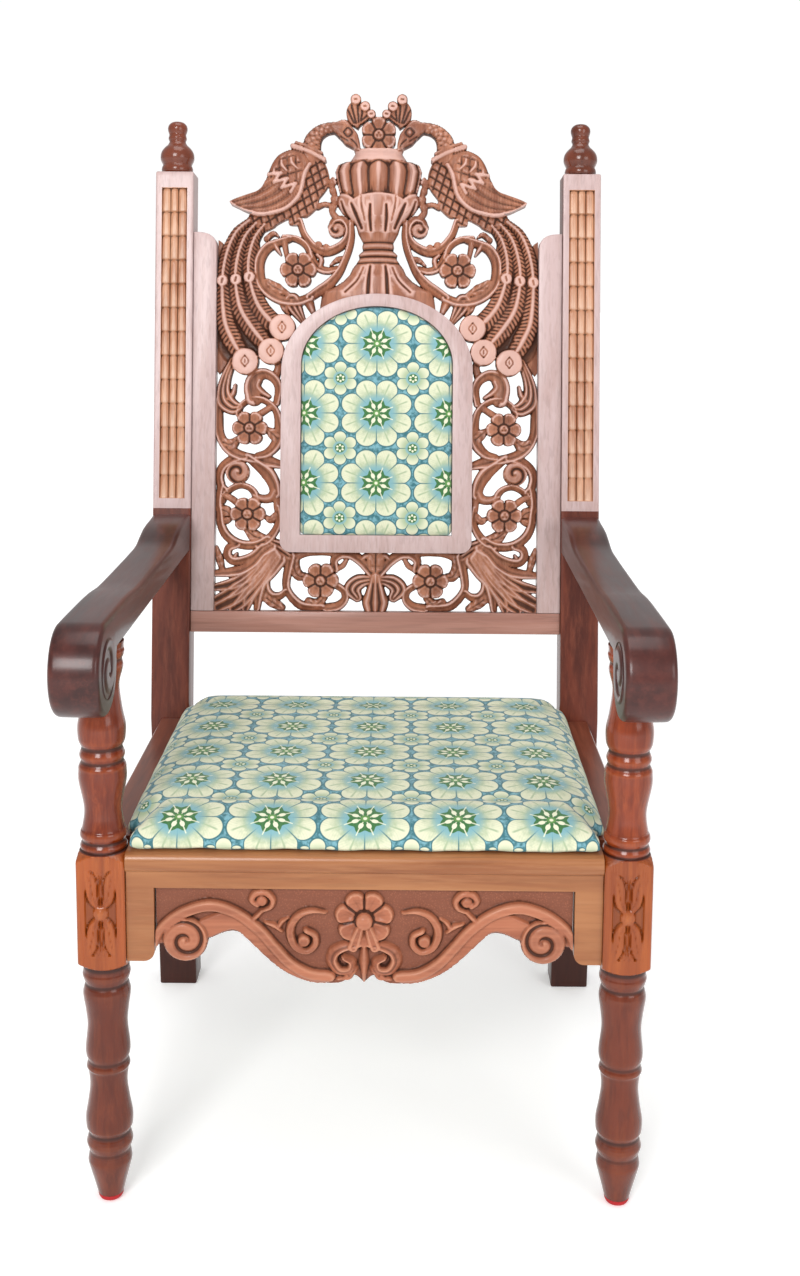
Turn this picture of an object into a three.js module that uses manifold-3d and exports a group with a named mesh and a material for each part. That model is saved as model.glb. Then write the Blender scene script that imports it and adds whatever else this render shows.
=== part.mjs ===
// Carved and turned church armchair with an upholstered seat and back.
// Millimetres, +Z up, the chair's front towards -Y, resting on Z = 0.

import * as THREE from "three";
import { mergeVertices } from "three/addons/utils/BufferGeometryUtils.js";
import Module from "manifold-3d";

const wasm = await Module();
wasm.setup();

// Driving dimensions: plan and heights
const legSpacing = 584; // across, between the leg axes, front and rear alike
const blockWidth = 54; // side of the square blocks of the front legs
const seatDepth = 490; // from the blocks' front faces to the rear posts, at seat height
const seatHeight = 425; // top of the seat rails
const backHeight = 783; // length of the rear posts above the seat rails, along the slope
const recline = THREE.MathUtils.degToRad(8.4); // lean of the back
const rake = THREE.MathUtils.degToRad(6.1); // lean of the rear legs
const postWidth = 54; // rear posts, across
const postDepth = 50; // rear posts, front to back
const fitGap = 0.3; // clearance between neighbouring pieces
const padGap = 0.6; // clearance round the back pad

// Driving dimensions: front legs
const glideHeight = 8;
const glideRadius = 14.5;
const glideFlatRadius = 9;
const blockBottom = 289; // lowest point of a block's faces
const blockTop = 422; // highest point of a block's faces
const shoulderDrop = 8; // the turned shoulders fall this much from face to corner
const blockPanelDepth = 3;
const blockPanelMargin = 8;
const turningFacets = 10;

// Driving dimensions: arms
const armUnderside = 660;
const armWidth = 53;
const armRearThickness = 53;
const armDipThickness = 36;
const armHandThickness = 42;
const scrollRadius = 50;
const scrollReach = 60; // scroll centre ahead of the blocks' front faces
const scrollDrop = 8; // scroll centre below the arm's underside
const scrollEyeRadius = 33;
const scrollEyeRise = 2;
const armEase = 6;

// Driving dimensions: seat frame
const railThickness = 28;
const frontRailSetback = 6;
const frontRailHeight = 41;
const noseHeight = 22;
const noseProjection = 6;
const bracketWidth = 31;
const bracketDrop = 86; // below the front rail's lower edge
const bracketChamfer = 12;
const sideRailHeight = 66;
const sideRailThickness = 40;
const sideRailSetback = 15; // in from the blocks' outer faces
const rearRailHeight = 66;
const rearRailSetback = 10;

// Driving dimensions: carved apron
const apronSetback = 12; // ground of the carving behind the blocks' front faces
const apronThickness = 20;
const apronRelief = 12;

// Driving dimensions: back frame
const frameSetback = 6; // stiles and rail behind the posts' front faces
const frameThickness = 28;
const stileWidth = 33;
const stileHeight = 544; // on the bottom rail, at the post
const stileFall = 12; // fall of the stile's top towards the carving
const backRailBottom = 123; // along the slope, above the seat rails
const backRailHeight = 30;
const archFrameSide = 28.5;
const archFrameCrown = 18;
const archFrameSill = 25;
const archHalfWidth = 137.5;
const archFrameHeight = 372;
const archRise = 111; // of the frame's outer edge above its springing
const archCornerRadius = 16;
const archLift = 85; // frame's foot above the back rail
const archProjection = 2; // frame in front of the stiles
const carvingThickness = 24;
const carvingSetback = 3; // of the highest relief behind the stiles' faces
const crestHeight = 288; // above the top of the arch frame

// Driving dimensions: tiled strips on the posts, and finials
const tileStripWidth = 36;
const tileStripBottom = 315;
const tileStripTop = 759;
const tileRows = 13;
const tileStripDepth = 4;
const tileLip = 2.6;
const finialHeight = 76;
const finialFacets = 10;

// Driving dimensions: upholstery
const seatPadOverlap = 12; // onto the side rails
const seatPadCrown = 42; // above the seat rails
const seatPadSetback = 5; // front edge behind the blocks' front faces
const seatPadCorner = 4; // clearance round the blocks
const backPadRecess = 8; // pad's edge behind the frame's face
const backPadCrown = 7;
const backPadThickness = 22;

// Materials
const wood = (color, roughness) => new THREE.MeshStandardMaterial({ color, roughness, metalness: 0 });
const paleWood = wood(0xb88478, 0.45);
const carvedWood = wood(0x9a5a3c, 0.4);
const railWood = wood(0xb0693f, 0.35);
const turnedWood = wood(0x9c4a28, 0.28);
const armWood = wood(0x54291f, 0.22);
const fabric = wood(0xcdd6b4, 0.9);
const redFelt = wood(0xb01c22, 0.85);

// Solids
function solidOf(geometry) {
  const bare = geometry.clone();
  bare.deleteAttribute("normal");
  bare.deleteAttribute("uv");
  const merged = mergeVertices(bare, 1e-4);
  const at = merged.getAttribute("position").array;
  const index = Array.from(merged.getIndex().array);
  let faces = [];
  for (let i = 0; i < index.length; i += 3) {
    const [a, b, c] = index.slice(i, i + 3);
    if (a !== b && b !== c && c !== a) faces.push([a, b, c]);
  }
  const corner = (i) => new THREE.Vector3().fromArray(at, i * 3);
  const sixVolumes = faces.reduce((sum, [a, b, c]) => {
    return sum + corner(a).dot(corner(b).cross(corner(c)));
  }, 0);
  if (sixVolumes < 0) faces = faces.map(([a, b, c]) => [a, c, b]);
  return new wasm.Manifold(
    new wasm.Mesh({
      numProp: 3, vertProperties: new Float32Array(at), triVerts: new Uint32Array(faces.flat()),
    }),
  );
}

function geometryOf(solid) {
  const mesh = solid.getMesh();
  const geometry = new THREE.BufferGeometry();
  geometry.setAttribute("position", new THREE.BufferAttribute(mesh.vertProperties, 3));
  geometry.setIndex(new THREE.BufferAttribute(mesh.triVerts, 1));
  return geometry;
}

const joined = (solids) => solids.reduce((all, next) => all.add(next));

function shapeOf(points) {
  return new THREE.Shape(points.map(([x, y]) => new THREE.Vector2(x, y)));
}

// A prism on the XY plane from z = low to z = high, its edges cut back by ease
function prism(shape, low, high, ease = 0, curveSegments = 6) {
  const geometry = new THREE.ExtrudeGeometry(shape, {
    depth: high - low - 2 * ease,
    bevelEnabled: ease > 0,
    bevelThickness: ease,
    bevelSize: ease,
    bevelOffset: -ease,
    bevelSegments: 1,
    curveSegments,
  });
  return geometry.translate(0, 0, low + ease);
}

// A prism whose outline is drawn in YZ and which runs along X
function prismAcross(shape, low, high, ease = 0) {
  const turn = new THREE.Matrix4().makeBasis(
    new THREE.Vector3(0, 1, 0),
    new THREE.Vector3(0, 0, 1),
    new THREE.Vector3(1, 0, 0),
  );
  return prism(shape, low, high, ease).applyMatrix4(turn);
}

function boxBetween(low, high) {
  const size = high.map((value, i) => value - low[i]);
  const middle = high.map((value, i) => (value + low[i]) / 2);
  return new THREE.BoxGeometry(...size).translate(...middle);
}

// A turned solid about Z from [height, radius] pairs, lowest first
function turned(profile, facets) {
  const first = profile[0][0];
  const last = profile[profile.length - 1][0];
  const rows = [[first, 0], ...profile, [last, 0]];
  const points = rows.map(([height, radius]) => new THREE.Vector2(radius, height));
  return new THREE.LatheGeometry(points, facets).rotateX(Math.PI / 2);
}

const stretch = (shares, low, high) => shares.map(([share, radius]) => [low + share * (high - low), radius]);

// The group and its pieces
const chair = new THREE.Group();
const back = new THREE.Group();
back.rotation.x = Math.PI / 2 - recline;
back.position.set(0, seatDepth, seatHeight);
chair.add(back);
back.updateMatrix();

function addPiece(name, solid, material, group = chair) {
  const mesh = new THREE.Mesh(geometryOf(solid), material);
  mesh.name = name;
  group.add(mesh);
  return mesh;
}

const sides = { left: -1, right: 1 };
const legX = legSpacing / 2;
const innerPostX = legX - postWidth / 2;
const innerBlockX = legX - blockWidth / 2;
const legY = blockWidth / 2;
const postFace = (z) => {
  const lean = z > seatHeight ? recline : rake;
  return seatDepth + Math.abs(z - seatHeight) * Math.tan(lean);
};

// Front legs: turned below and above a square block, up to the arms
const lowerTurning = [
  [0, 14.5], [0.05, 18], [0.1, 21.8], [0.143, 24.7], [0.19, 23.4], [0.23, 26.2], [0.27, 23.6],
  [0.3, 26.3], [0.345, 26.5], [0.41, 23.4], [0.48, 21.1], [0.54, 22.6], [0.56, 24.5], [0.585, 22.9],
  [0.61, 24.6], [0.645, 25], [0.735, 22.5], [0.87, 26.6], [0.918, 24], [0.957, 26.8], [0.985, 25],
];
const upperTurning = [
  [0, 25], [0.02, 26.2], [0.042, 24.2], [0.07, 26.2], [0.11, 23.4], [0.2, 21], [0.33, 26.3],
  [0.405, 26.2], [0.43, 23.6], [0.46, 25], [0.495, 22.6], [0.54, 26], [0.6, 26.4], [0.68, 22.9],
  [0.79, 20.3], [0.885, 25], [0.915, 23.9], [0.95, 26.4], [0.975, 25.2], [1, 26.3],
];

function frontLeg() {
  const corner = (blockWidth / 2) * Math.SQRT2 + 1;
  const half = blockWidth / 2;
  const profile = [
    ...stretch(lowerTurning, glideHeight + fitGap, blockBottom - 1),
    [blockBottom, half],
    [blockBottom + shoulderDrop, corner],
    [blockTop - shoulderDrop, corner],
    [blockTop, half],
    ...stretch(upperTurning, blockTop + 1, armUnderside - fitGap),
  ];
  const round = solidOf(turned(profile, turningFacets).rotateZ(Math.PI / turningFacets));
  const square = solidOf(boxBetween([-half, -half, 0], [half, half, armUnderside]));
  return round.intersect(square);
}

// Carving of a block's front face: pairs of leaves above and below a button
function blockCarving() {
  const middle = (blockTop + blockBottom) / 2;
  const halfWidth = blockWidth / 2 - blockPanelMargin;
  const halfHeight = (blockTop - blockBottom) / 2 - 1.9 * blockPanelMargin;
  const recess = boxBetween(
    [-halfWidth, -blockWidth / 2 - 1, middle - halfHeight],
    [halfWidth, -blockWidth / 2 + blockPanelDepth, middle + halfHeight],
  );
  const stand = new THREE.Matrix4()
    .makeTranslation(0, -blockWidth / 2 + blockPanelDepth + 0.5, middle)
    .multiply(new THREE.Matrix4().makeRotationX(Math.PI / 2));
  const raised = [];
  for (const up of [-1, 1]) {
    for (const side of [-1, 1]) {
      const leaf = [
        [0, 0], [side * halfWidth * 0.62, up * halfHeight * 0.42],
        [side * halfWidth * 0.4, up * halfHeight * 0.9],
      ];
      raised.push(strokeGeometry(leaf, [5, 13, 3], blockPanelDepth + 1, 3));
    }
  }
  raised.push(discGeometry(0, 0, 7.5, blockPanelDepth + 3));
  const pieces = raised.map((piece) => solidOf(piece.applyMatrix4(stand)));
  return { recess: solidOf(recess), raised: joined(pieces) };
}

// A carved band along a curve, on the plane z = 0: the section is in shares of its width and height
const ridgeSection = [[-0.5, 0], [-0.5, 0.55], [0, 1], [0.5, 0.55], [0.5, 0]];
const roofSection = [[-0.5, 0], [0, 1], [0.5, 0]];
const flatSection = [[-0.5, 0], [-0.5, 1], [0.5, 1], [0.5, 0]];
function strokeGeometry(points, widths, height, steps, section = ridgeSection) {
  const curve = new THREE.CatmullRomCurve3(points.map(([x, y]) => new THREE.Vector3(x, y, 0)));
  const widthAt = (t) => {
    const place = t * (widths.length - 1);
    const i = Math.min(Math.floor(place), widths.length - 2);
    return THREE.MathUtils.lerp(widths[i], widths[i + 1], place - i);
  };
  const corners = [];
  for (let i = 0; i <= steps; i++) {
    const t = i / steps;
    const at = curve.getPointAt(t);
    const along = curve.getTangentAt(t);
    for (const [share, rise] of section) {
      const out = share * widthAt(t);
      corners.push(at.x - along.y * out, at.y + along.x * out, rise * height);
    }
  }
  const n = section.length;
  const faces = [];
  for (let i = 0; i < steps; i++) {
    for (let j = 0; j < n; j++) {
      const a = i * n + j;
      const b = i * n + ((j + 1) % n);
      faces.push(a, b, b + n, a, b + n, a + n);
    }
  }
  for (let j = 1; j < n - 1; j++) {
    const end = steps * n;
    faces.push(0, j + 1, j, end, end + j, end + j + 1);
  }
  const geometry = new THREE.BufferGeometry();
  geometry.setAttribute("position", new THREE.Float32BufferAttribute(corners, 3));
  geometry.setIndex(faces);
  return geometry;
}

// A curl: an arc whose radius shrinks towards its end
const curlPoints = (x, y, startRadius, endRadius, from, to, count = 7) =>
  Array.from({ length: count }, (_, i) => {
    const share = i / (count - 1);
    const angle = THREE.MathUtils.degToRad(from + (to - from) * share);
    const radius = startRadius + (endRadius - startRadius) * share;
    return [x + radius * Math.cos(angle), y + radius * Math.sin(angle)];
  });

function discGeometry(x, y, radius, height, facets = 10) {
  return new THREE.CylinderGeometry(radius, radius, height, facets)
    .rotateX(Math.PI / 2)
    .translate(x, y, height / 2);
}

// A six-petalled flower with a raised eye, on the plane z = 0
function flowerGeometry(x, y, radius, height) {
  const petals = 6;
  const around = petals * 3;
  const rings = [
    [0, (notch) => (notch ? 0.74 : 1)],
    [0.7 * height, (notch) => (notch ? 0.74 : 1)],
    [0.9 * height, () => 0.3],
  ];
  const corners = [];
  for (const [z, share] of rings) {
    for (let k = 0; k < around; k++) {
      const petal = Math.floor(k / 3);
      const place = k % 3;
      const angle = ((petal + [0, 0.28, 0.72][place]) / petals) * 2 * Math.PI + Math.PI / 6;
      const r = radius * share(place === 0);
      corners.push(x + r * Math.cos(angle), y + r * Math.sin(angle), z);
    }
  }
  const bottom = corners.length / 3;
  corners.push(x, y, 0, x, y, height);
  const faces = [];
  for (let k = 0; k < around; k++) {
    const next = (k + 1) % around;
    for (let ring = 0; ring < rings.length - 1; ring++) {
      const a = ring * around + k;
      const b = ring * around + next;
      faces.push(a, b, b + around, a, b + around, a + around);
    }
    const top = (rings.length - 1) * around;
    faces.push(bottom, next, k, bottom + 1, top + k, top + next);
  }
  const geometry = new THREE.BufferGeometry();
  geometry.setAttribute("position", new THREE.Float32BufferAttribute(corners, 3));
  geometry.setIndex(faces);
  return geometry;
}

const legCarving = blockCarving();
const footProfile = [[0, glideFlatRadius], [3, glideRadius - 1.5], [glideHeight, glideRadius]];
const foot = solidOf(turned(footProfile, turningFacets));
for (const [side, sign] of Object.entries(sides)) {
  const leg = frontLeg().subtract(legCarving.recess).add(legCarving.raised);
  addPiece(`front_leg_${side}`, leg, turnedWood).position.set(sign * legX, legY, 0);
  addPiece(`foot_glide_${side}`, foot, redFelt).position.set(sign * legX, legY, 0);
}

// Rear posts: leg below, reclined post above, with a sunk strip of carved tiles
function tileStrip() {
  const half = tileStripWidth / 2;
  const recess = boxBetween([-half, tileStripBottom, -tileStripDepth], [half, tileStripTop, 1]);
  const rowHeight = (tileStripTop - tileStripBottom) / tileRows;
  const columns = [[-0.5, -0.24, 0.5], [-0.2, 0.2, 0], [0.24, 0.5, 0.5]];
  const tiles = columns.map(([from, to, shift]) => {
    const outline = [[-tileStripDepth - 0.5, tileStripBottom]];
    for (let row = 0; row < tileRows; row++) {
      const low = tileStripBottom + row * rowHeight;
      outline.push([-tileStripDepth + tileLip * (1 - 0.3 * shift), low]);
      outline.push([-tileStripDepth + 0.4, low + rowHeight - 1]);
    }
    outline.push([-tileStripDepth - 0.5, tileStripTop]);
    const shape = shapeOf(outline.map(([w, v]) => [v, w]));
    return solidOf(prismAcross(shape, from * tileStripWidth, to * tileStripWidth));
  });
  return { recess: solidOf(recess), tiles: joined(tiles) };
}

function rearPost() {
  const out = (point, lean, depth) => [point[0] + depth / Math.cos(lean), point[1]];
  const kink = [seatDepth, seatHeight];
  const footPoint = [postFace(0), 0];
  const topFront = [
    seatDepth + backHeight * Math.sin(recline),
    seatHeight + backHeight * Math.cos(recline),
  ];
  const topRear = [topFront[0] + postDepth * Math.cos(recline), topFront[1] - postDepth * Math.sin(recline)];
  const outline = [
    footPoint, out(footPoint, rake, postDepth), out(kink, 0, postDepth + 2), topRear, topFront, kink,
  ];
  return solidOf(prismAcross(shapeOf(outline), -postWidth / 2, postWidth / 2));
}

const strip = tileStrip();
const inBack = (solid) => solid.transform(back.matrix.toArray());
const finialProfile = [
  [0, 19.5], [0.02, 21.5], [0.1, 22.4], [0.17, 20.8], [0.27, 23.9], [0.38, 24], [0.45, 22],
  [0.53, 16.5], [0.61, 11.8], [0.69, 13], [0.76, 12.1], [0.86, 14], [0.94, 12.6], [0.99, 8.5],
];
for (const [side, sign] of Object.entries(sides)) {
  const post = rearPost().subtract(inBack(strip.recess)).add(inBack(strip.tiles));
  addPiece(`rear_post_${side}`, post, paleWood).position.x = sign * legX;
  const profile = stretch(finialProfile, 0, finialHeight - 1).concat([[finialHeight, 5]]);
  const finial = solidOf(turned(profile, finialFacets));
  const cap = addPiece(`finial_${side}`, finial, turnedWood, back);
  cap.rotation.x = -Math.PI / 2;
  cap.position.set(sign * legX, backHeight + fitGap, -postDepth / 2);
}

// Arms: level beneath, a dip and a hand rest above, a scroll in front
function arm() {
  const centreY = -scrollReach;
  const centreZ = armUnderside - scrollDrop;
  const rearTop = armUnderside + armRearThickness;
  const top = (thickness) => armUnderside + thickness;
  const outline = new THREE.Shape();
  outline.moveTo(postFace(armUnderside) - fitGap, armUnderside);
  outline.lineTo(postFace(rearTop) - fitGap, rearTop);
  outline.lineTo(seatDepth * 0.86, top(armRearThickness - 5));
  outline.lineTo(seatDepth * 0.79, top(armDipThickness + 4));
  outline.lineTo(seatDepth * 0.5, top(armDipThickness));
  outline.lineTo(seatDepth * 0.27, top(armDipThickness));
  outline.lineTo(seatDepth * 0.17, top(armHandThickness - 2));
  outline.lineTo(0, top(armHandThickness));
  outline.lineTo(centreY, centreZ + scrollRadius);
  const meet = Math.asin(scrollDrop / scrollRadius);
  outline.absarc(centreY, centreZ, scrollRadius, Math.PI / 2, 2 * Math.PI + meet, false);
  outline.closePath();
  const beam = solidOf(prismAcross(outline, -armWidth / 2, armWidth / 2, armEase));
  const circle = new THREE.Shape().absarc(centreY, centreZ, scrollEyeRadius, 0, 2 * Math.PI, false);
  const eye = solidOf(prismAcross(circle, -armWidth / 2 - scrollEyeRise, armWidth / 2 + scrollEyeRise));
  return beam.add(eye);
}
for (const [side, sign] of Object.entries(sides)) {
  addPiece(`arm_${side}`, arm(), armWood).position.x = sign * legX;
}

// Seat frame
const frontRailBottom = seatHeight - frontRailHeight;
const frontRailEnd = innerBlockX - fitGap;
function frontRail() {
  const face = frontRailSetback;
  const rear = face + railThickness;
  const noseLow = seatHeight - noseHeight;
  const board = shapeOf([
    [face, frontRailBottom], [rear, frontRailBottom], [rear, seatHeight], [face + 8, seatHeight],
    [face, seatHeight - 2.5], [face - noseProjection + 1, seatHeight - 9],
    [face - noseProjection, seatHeight - 15], [face - noseProjection + 2, noseLow + 1], [face, noseLow],
  ]);
  const rail = solidOf(prismAcross(board, -frontRailEnd, frontRailEnd));
  const low = frontRailBottom - bracketDrop;
  const brackets = Object.values(sides).map((sign) => {
    const outer = sign * frontRailEnd;
    const inner = sign * (frontRailEnd - bracketWidth);
    const step = sign * bracketChamfer;
    const outline = shapeOf([
      [outer, low], [inner + step, low], [inner + step * 0.3, low + bracketChamfer * 0.5],
      [inner, low + bracketChamfer], [inner, frontRailBottom + 1], [outer, frontRailBottom + 1],
    ]);
    const upright = prism(outline, -rear, -face).rotateX(Math.PI / 2);
    return solidOf(upright);
  });
  return joined([rail, ...brackets]);
}
addPiece("front_rail", frontRail(), railWood);

function sideRail() {
  const low = seatHeight - sideRailHeight;
  const outline = shapeOf([
    [blockWidth + fitGap, low], [postFace(low) - fitGap, low],
    [postFace(seatHeight) - fitGap, seatHeight], [blockWidth + fitGap, seatHeight],
  ]);
  return solidOf(prismAcross(outline, -sideRailThickness / 2, sideRailThickness / 2, 1.5));
}
const sideRailX = legX + blockWidth / 2 - sideRailSetback - sideRailThickness / 2;
for (const [side, sign] of Object.entries(sides)) {
  addPiece(`side_rail_${side}`, sideRail(), railWood).position.x = sign * sideRailX;
}

function rearRail() {
  const low = seatHeight - rearRailHeight;
  const lowFace = postFace(low) + rearRailSetback;
  const highFace = postFace(seatHeight) + rearRailSetback;
  const outline = shapeOf([
    [lowFace, low], [lowFace + railThickness, low],
    [highFace + railThickness, seatHeight], [highFace, seatHeight],
  ]);
  const end = innerPostX - fitGap;
  return solidOf(prismAcross(outline, -end, end));
}
addPiece("rear_rail", rearRail(), railWood);

// Carved apron under the front rail, drawn in shares of its half width and height
const apronHalf = frontRailEnd - bracketWidth - fitGap;
const apronTop = frontRailBottom - fitGap;
const apronUnit = apronHalf / 233;
const apronFoot = -111; // lowest point of the apron's middle below its top edge, before scaling
function apronPiece() {
  const edge = (share) => {
    const x = share * 174;
    const wave = 0.5 - 0.5 * Math.cos(THREE.MathUtils.clamp((150 - x) / 115, 0, 1) * Math.PI);
    return -53 - 55 * wave;
  };
  const outline = [[-233, 0], [-233, -58]];
  const steps = 12;
  const half = Array.from({ length: steps }, (_, i) => {
    const share = 1 - (i * 0.92) / (steps - 1);
    return [share * 176, edge(share)];
  });
  half.forEach(([x, y]) => outline.push([-x, y]));
  outline.push([0, apronFoot + 8]);
  [...half].reverse().forEach(([x, y]) => outline.push([x, y]));
  outline.push([233, -58], [233, 0]);
  const scaled = (points) => points.map(([x, y]) => [x * apronUnit, y * apronUnit]);
  const parts = [solidOf(prism(shapeOf(scaled(outline)), 0, apronThickness))];
  const high = apronThickness + apronRelief;
  const root = apronThickness - 2;
  const add = (points, widths, height, stepCount) => {
    const across = widths.map((width) => width * apronUnit);
    const relief = strokeGeometry(scaled(points), across, height - root, stepCount, roofSection);
    parts.push(solidOf(relief.translate(0, 0, root)));
  };
  for (const side of [-1, 1]) {
    const turn = (points) => points.map(([x, y]) => [side * x, y]);
    add(turn([[224, -62], [206, -36], [172, -26], [140, -36], [112, -62], [84, -92], [52, -104], [22, -100]]),
      [8, 13, 15, 14, 12, 12, 14, 10], high - 4, 9);
    add(turn(curlPoints(199, -60, 20, 8, 30, -300, 9)), [14, 15, 15, 12, 8], high, 8);
    add(turn(curlPoints(22, -88, 12, 4, 60, -240, 7)), [13, 14, 12, 7], high - 1, 6);
    add(turn([[100, -46], [103, -30], ...curlPoints(114, -17, 9, 4, 190, -60, 5)]),
      [5, 7, 9, 8, 6], high - 5, 5);
    add(turn([[43, -28], [64, -28], [80, -40], ...curlPoints(67, -60, 12, 4, 20, -220, 6)]),
      [3, 7, 8, 10, 8], high - 5, 7);
    add(turn([[84, -50], [96, -44], [110, -38]]), [4, 9, 3], high - 6, 2);
  }
  parts.push(solidOf(flowerGeometry(0, -36 * apronUnit, 33 * apronUnit, high - root).translate(0, 0, root)));
  const drop = shapeOf(scaled([[-9, -96], [0, apronFoot], [9, -96], [0, -84]]));
  parts.push(solidOf(prism(drop, 0, high - 6)));
  const trim = boxBetween([-apronHalf, 2 * apronFoot * apronUnit, -1], [apronHalf, 0, high + 1]);
  return joined(parts).intersect(solidOf(trim));
}
const apron = addPiece("carved_apron", apronPiece(), carvedWood);
apron.rotation.x = Math.PI / 2;
apron.position.set(0, apronSetback + apronThickness, apronTop);

// Back frame: stiles on a bottom rail, between the posts
const frameFace = -frameSetback;
const frameRear = frameFace - frameThickness;
const backRailTop = backRailBottom + backRailHeight;
const stileOuter = innerPostX - fitGap;
const stileInner = stileOuter - stileWidth;
for (const [side, sign] of Object.entries(sides)) {
  const foot = backRailTop + fitGap;
  const top = foot + stileHeight;
  const outline = shapeOf([
    [sign * stileInner, foot], [sign * stileOuter, foot], [sign * stileOuter, top],
    [sign * (stileOuter - 0.5 * stileWidth), top - 0.3 * stileFall], [sign * stileInner, top - stileFall],
  ]);
  addPiece(`back_stile_${side}`, solidOf(prism(outline, frameRear, frameFace)), paleWood, back);
}
const bottomRail = solidOf(boxBetween(
  [-stileOuter, backRailBottom, frameRear], [stileOuter, backRailTop, frameFace],
));
addPiece("back_bottom_rail", bottomRail, paleWood, back);

// Arch frame round the back pad
const archFoot = backRailTop + archLift;
const archTop = archFoot + archFrameHeight;
const archSpring = archTop - archRise;
const archFace = frameFace + archProjection;
function archShape(halfWidth, foot, spring, top, corner, steps = 14) {
  const points = [];
  for (let i = 0; i <= steps; i++) {
    const angle = (Math.PI * i) / steps;
    points.push([halfWidth * Math.cos(angle), spring + (top - spring) * Math.sin(angle)]);
  }
  points.push([-halfWidth, foot + corner]);
  if (corner > 0) points.push([-halfWidth + 0.3 * corner, foot + 0.3 * corner]);
  points.push([-halfWidth + corner, foot], [halfWidth - corner, foot]);
  if (corner > 0) points.push([halfWidth - 0.3 * corner, foot + 0.3 * corner]);
  points.push([halfWidth, foot + corner]);
  return shapeOf(points.filter(([x, y], i) => i === 0 || x !== points[i - 1][0] || y !== points[i - 1][1]));
}
const openHalf = archHalfWidth - archFrameSide;
const openFoot = archFoot + archFrameSill;
const openTop = archTop - archFrameCrown;
const openSpring = archSpring + 8;
const archOuter = archShape(archHalfWidth, archFoot, archSpring, archTop, archCornerRadius);
const archOpening = archShape(openHalf, openFoot, openSpring, openTop, 0);
const archFrame = solidOf(prism(archOuter, frameRear, archFace))
  .subtract(solidOf(prism(archOpening, frameRear - 1, archFace + 1)));
addPiece("arch_frame", archFrame, paleWood, back);

// Back pad: a slightly domed cushion filling the arch
function backPad() {
  const outline = (inset) => {
    const shape = archShape(
      openHalf - padGap - inset, openFoot + padGap + inset, openSpring, openTop - padGap - inset, 0, 12,
    );
    return shape.getPoints().map(({ x, y }) => [x, y]);
  };
  const edge = archFace - backPadRecess;
  const rings = [
    [0, edge - backPadThickness], [0, edge - 5], [8, edge], [34, edge + backPadCrown * 0.7],
  ].map(([inset, w]) => outline(inset).map(([x, y]) => [x, y, w]));
  return solidOf(stackedRings(rings, [0, (openFoot + openSpring) / 2 + 20, edge + backPadCrown]));
}

// A closed solid through rings of equal length, flat below and rising to an apex above
function stackedRings(rings, apex) {
  const n = rings[0].length;
  const corners = rings.flat();
  const bottomCentre = [apex[0], apex[1], rings[0][0][2]];
  corners.push(bottomCentre, apex);
  const faces = [];
  for (let k = 0; k < n; k++) {
    const next = (k + 1) % n;
    for (let ring = 0; ring < rings.length - 1; ring++) {
      const a = ring * n + k;
      const b = ring * n + next;
      faces.push(a, b, b + n, a, b + n, a + n);
    }
    const last = (rings.length - 1) * n;
    faces.push(rings.length * n, next, k, rings.length * n + 1, last + k, last + next);
  }
  const geometry = new THREE.BufferGeometry();
  geometry.setAttribute("position", new THREE.Float32BufferAttribute(corners.flat(), 3));
  geometry.setIndex(faces);
  return geometry;
}
addPiece("back_pad", backPad(), fabric, back);

// Seat pad: a crowned cushion on all four rails, notched round the blocks and posts
function seatPad() {
  const wide = sideRailX - sideRailThickness / 2 + seatPadOverlap;
  const narrow = innerBlockX - seatPadCorner;
  const front = seatPadSetback;
  const rear = postFace(seatHeight) - fitGap - 3;
  const notch = blockWidth + seatPadCorner;
  const tail = postFace(seatHeight) + rearRailSetback + railThickness - seatPadSetback;
  const tailHalf = innerPostX - seatPadCorner;
  const plan = [
    [-narrow, front], [-narrow * 0.34, front], [narrow * 0.34, front], [narrow, front], [narrow, notch],
    [wide, notch], [wide, rear * 0.5], [wide, rear], [tailHalf, rear], [tailHalf, tail],
    [tailHalf * 0.34, tail],
    [-tailHalf * 0.34, tail], [-tailHalf, tail], [-tailHalf, rear], [-wide, rear], [-wide, rear * 0.5],
    [-wide, notch], [-narrow, notch],
  ];
  const middle = [0, (front + rear) / 2];
  const base = seatHeight + fitGap;
  const crown = base + seatPadCrown;
  const levels = [[1, base], [1, base + 0.3 * seatPadCrown], [0.93, base + 0.62 * seatPadCrown],
    [0.8, base + 0.84 * seatPadCrown], [0.5, base + 0.96 * seatPadCrown]];
  const rings = levels.map(([scale, z]) =>
    plan.map(([x, y]) => [middle[0] + (x - middle[0]) * scale, middle[1] + (y - middle[1]) * scale, z]));
  return solidOf(stackedRings(rings, [...middle, crown]));
}
addPiece("seat_pad", seatPad(), fabric);

// Openwork carving, drawn for one half on a grid and stretched to the frame round it.
// The grid's lines are the middle, the arch frame and the stile, and the back rail,
// the arch frame's foot, springing and top, and the crest.
function between(lines, places, value) {
  let i = 0;
  while (i < lines.length - 2 && value > lines[i + 1]) i++;
  const share = (value - lines[i]) / (lines[i + 1] - lines[i]);
  return THREE.MathUtils.lerp(places[i], places[i + 1], share);
}
const gridAcross = [0, 137.5, 232];
const gridUp = [153, 238, 499, 610, 898];
const placesAcross = [0, archHalfWidth, stileInner];
const placesUp = [backRailTop, archFoot, archSpring, archTop, archTop + crestHeight];
const placed = ([u, v]) => [
  Math.sign(u) * between(gridAcross, placesAcross, Math.abs(u)), between(gridUp, placesUp, v),
];

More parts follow.
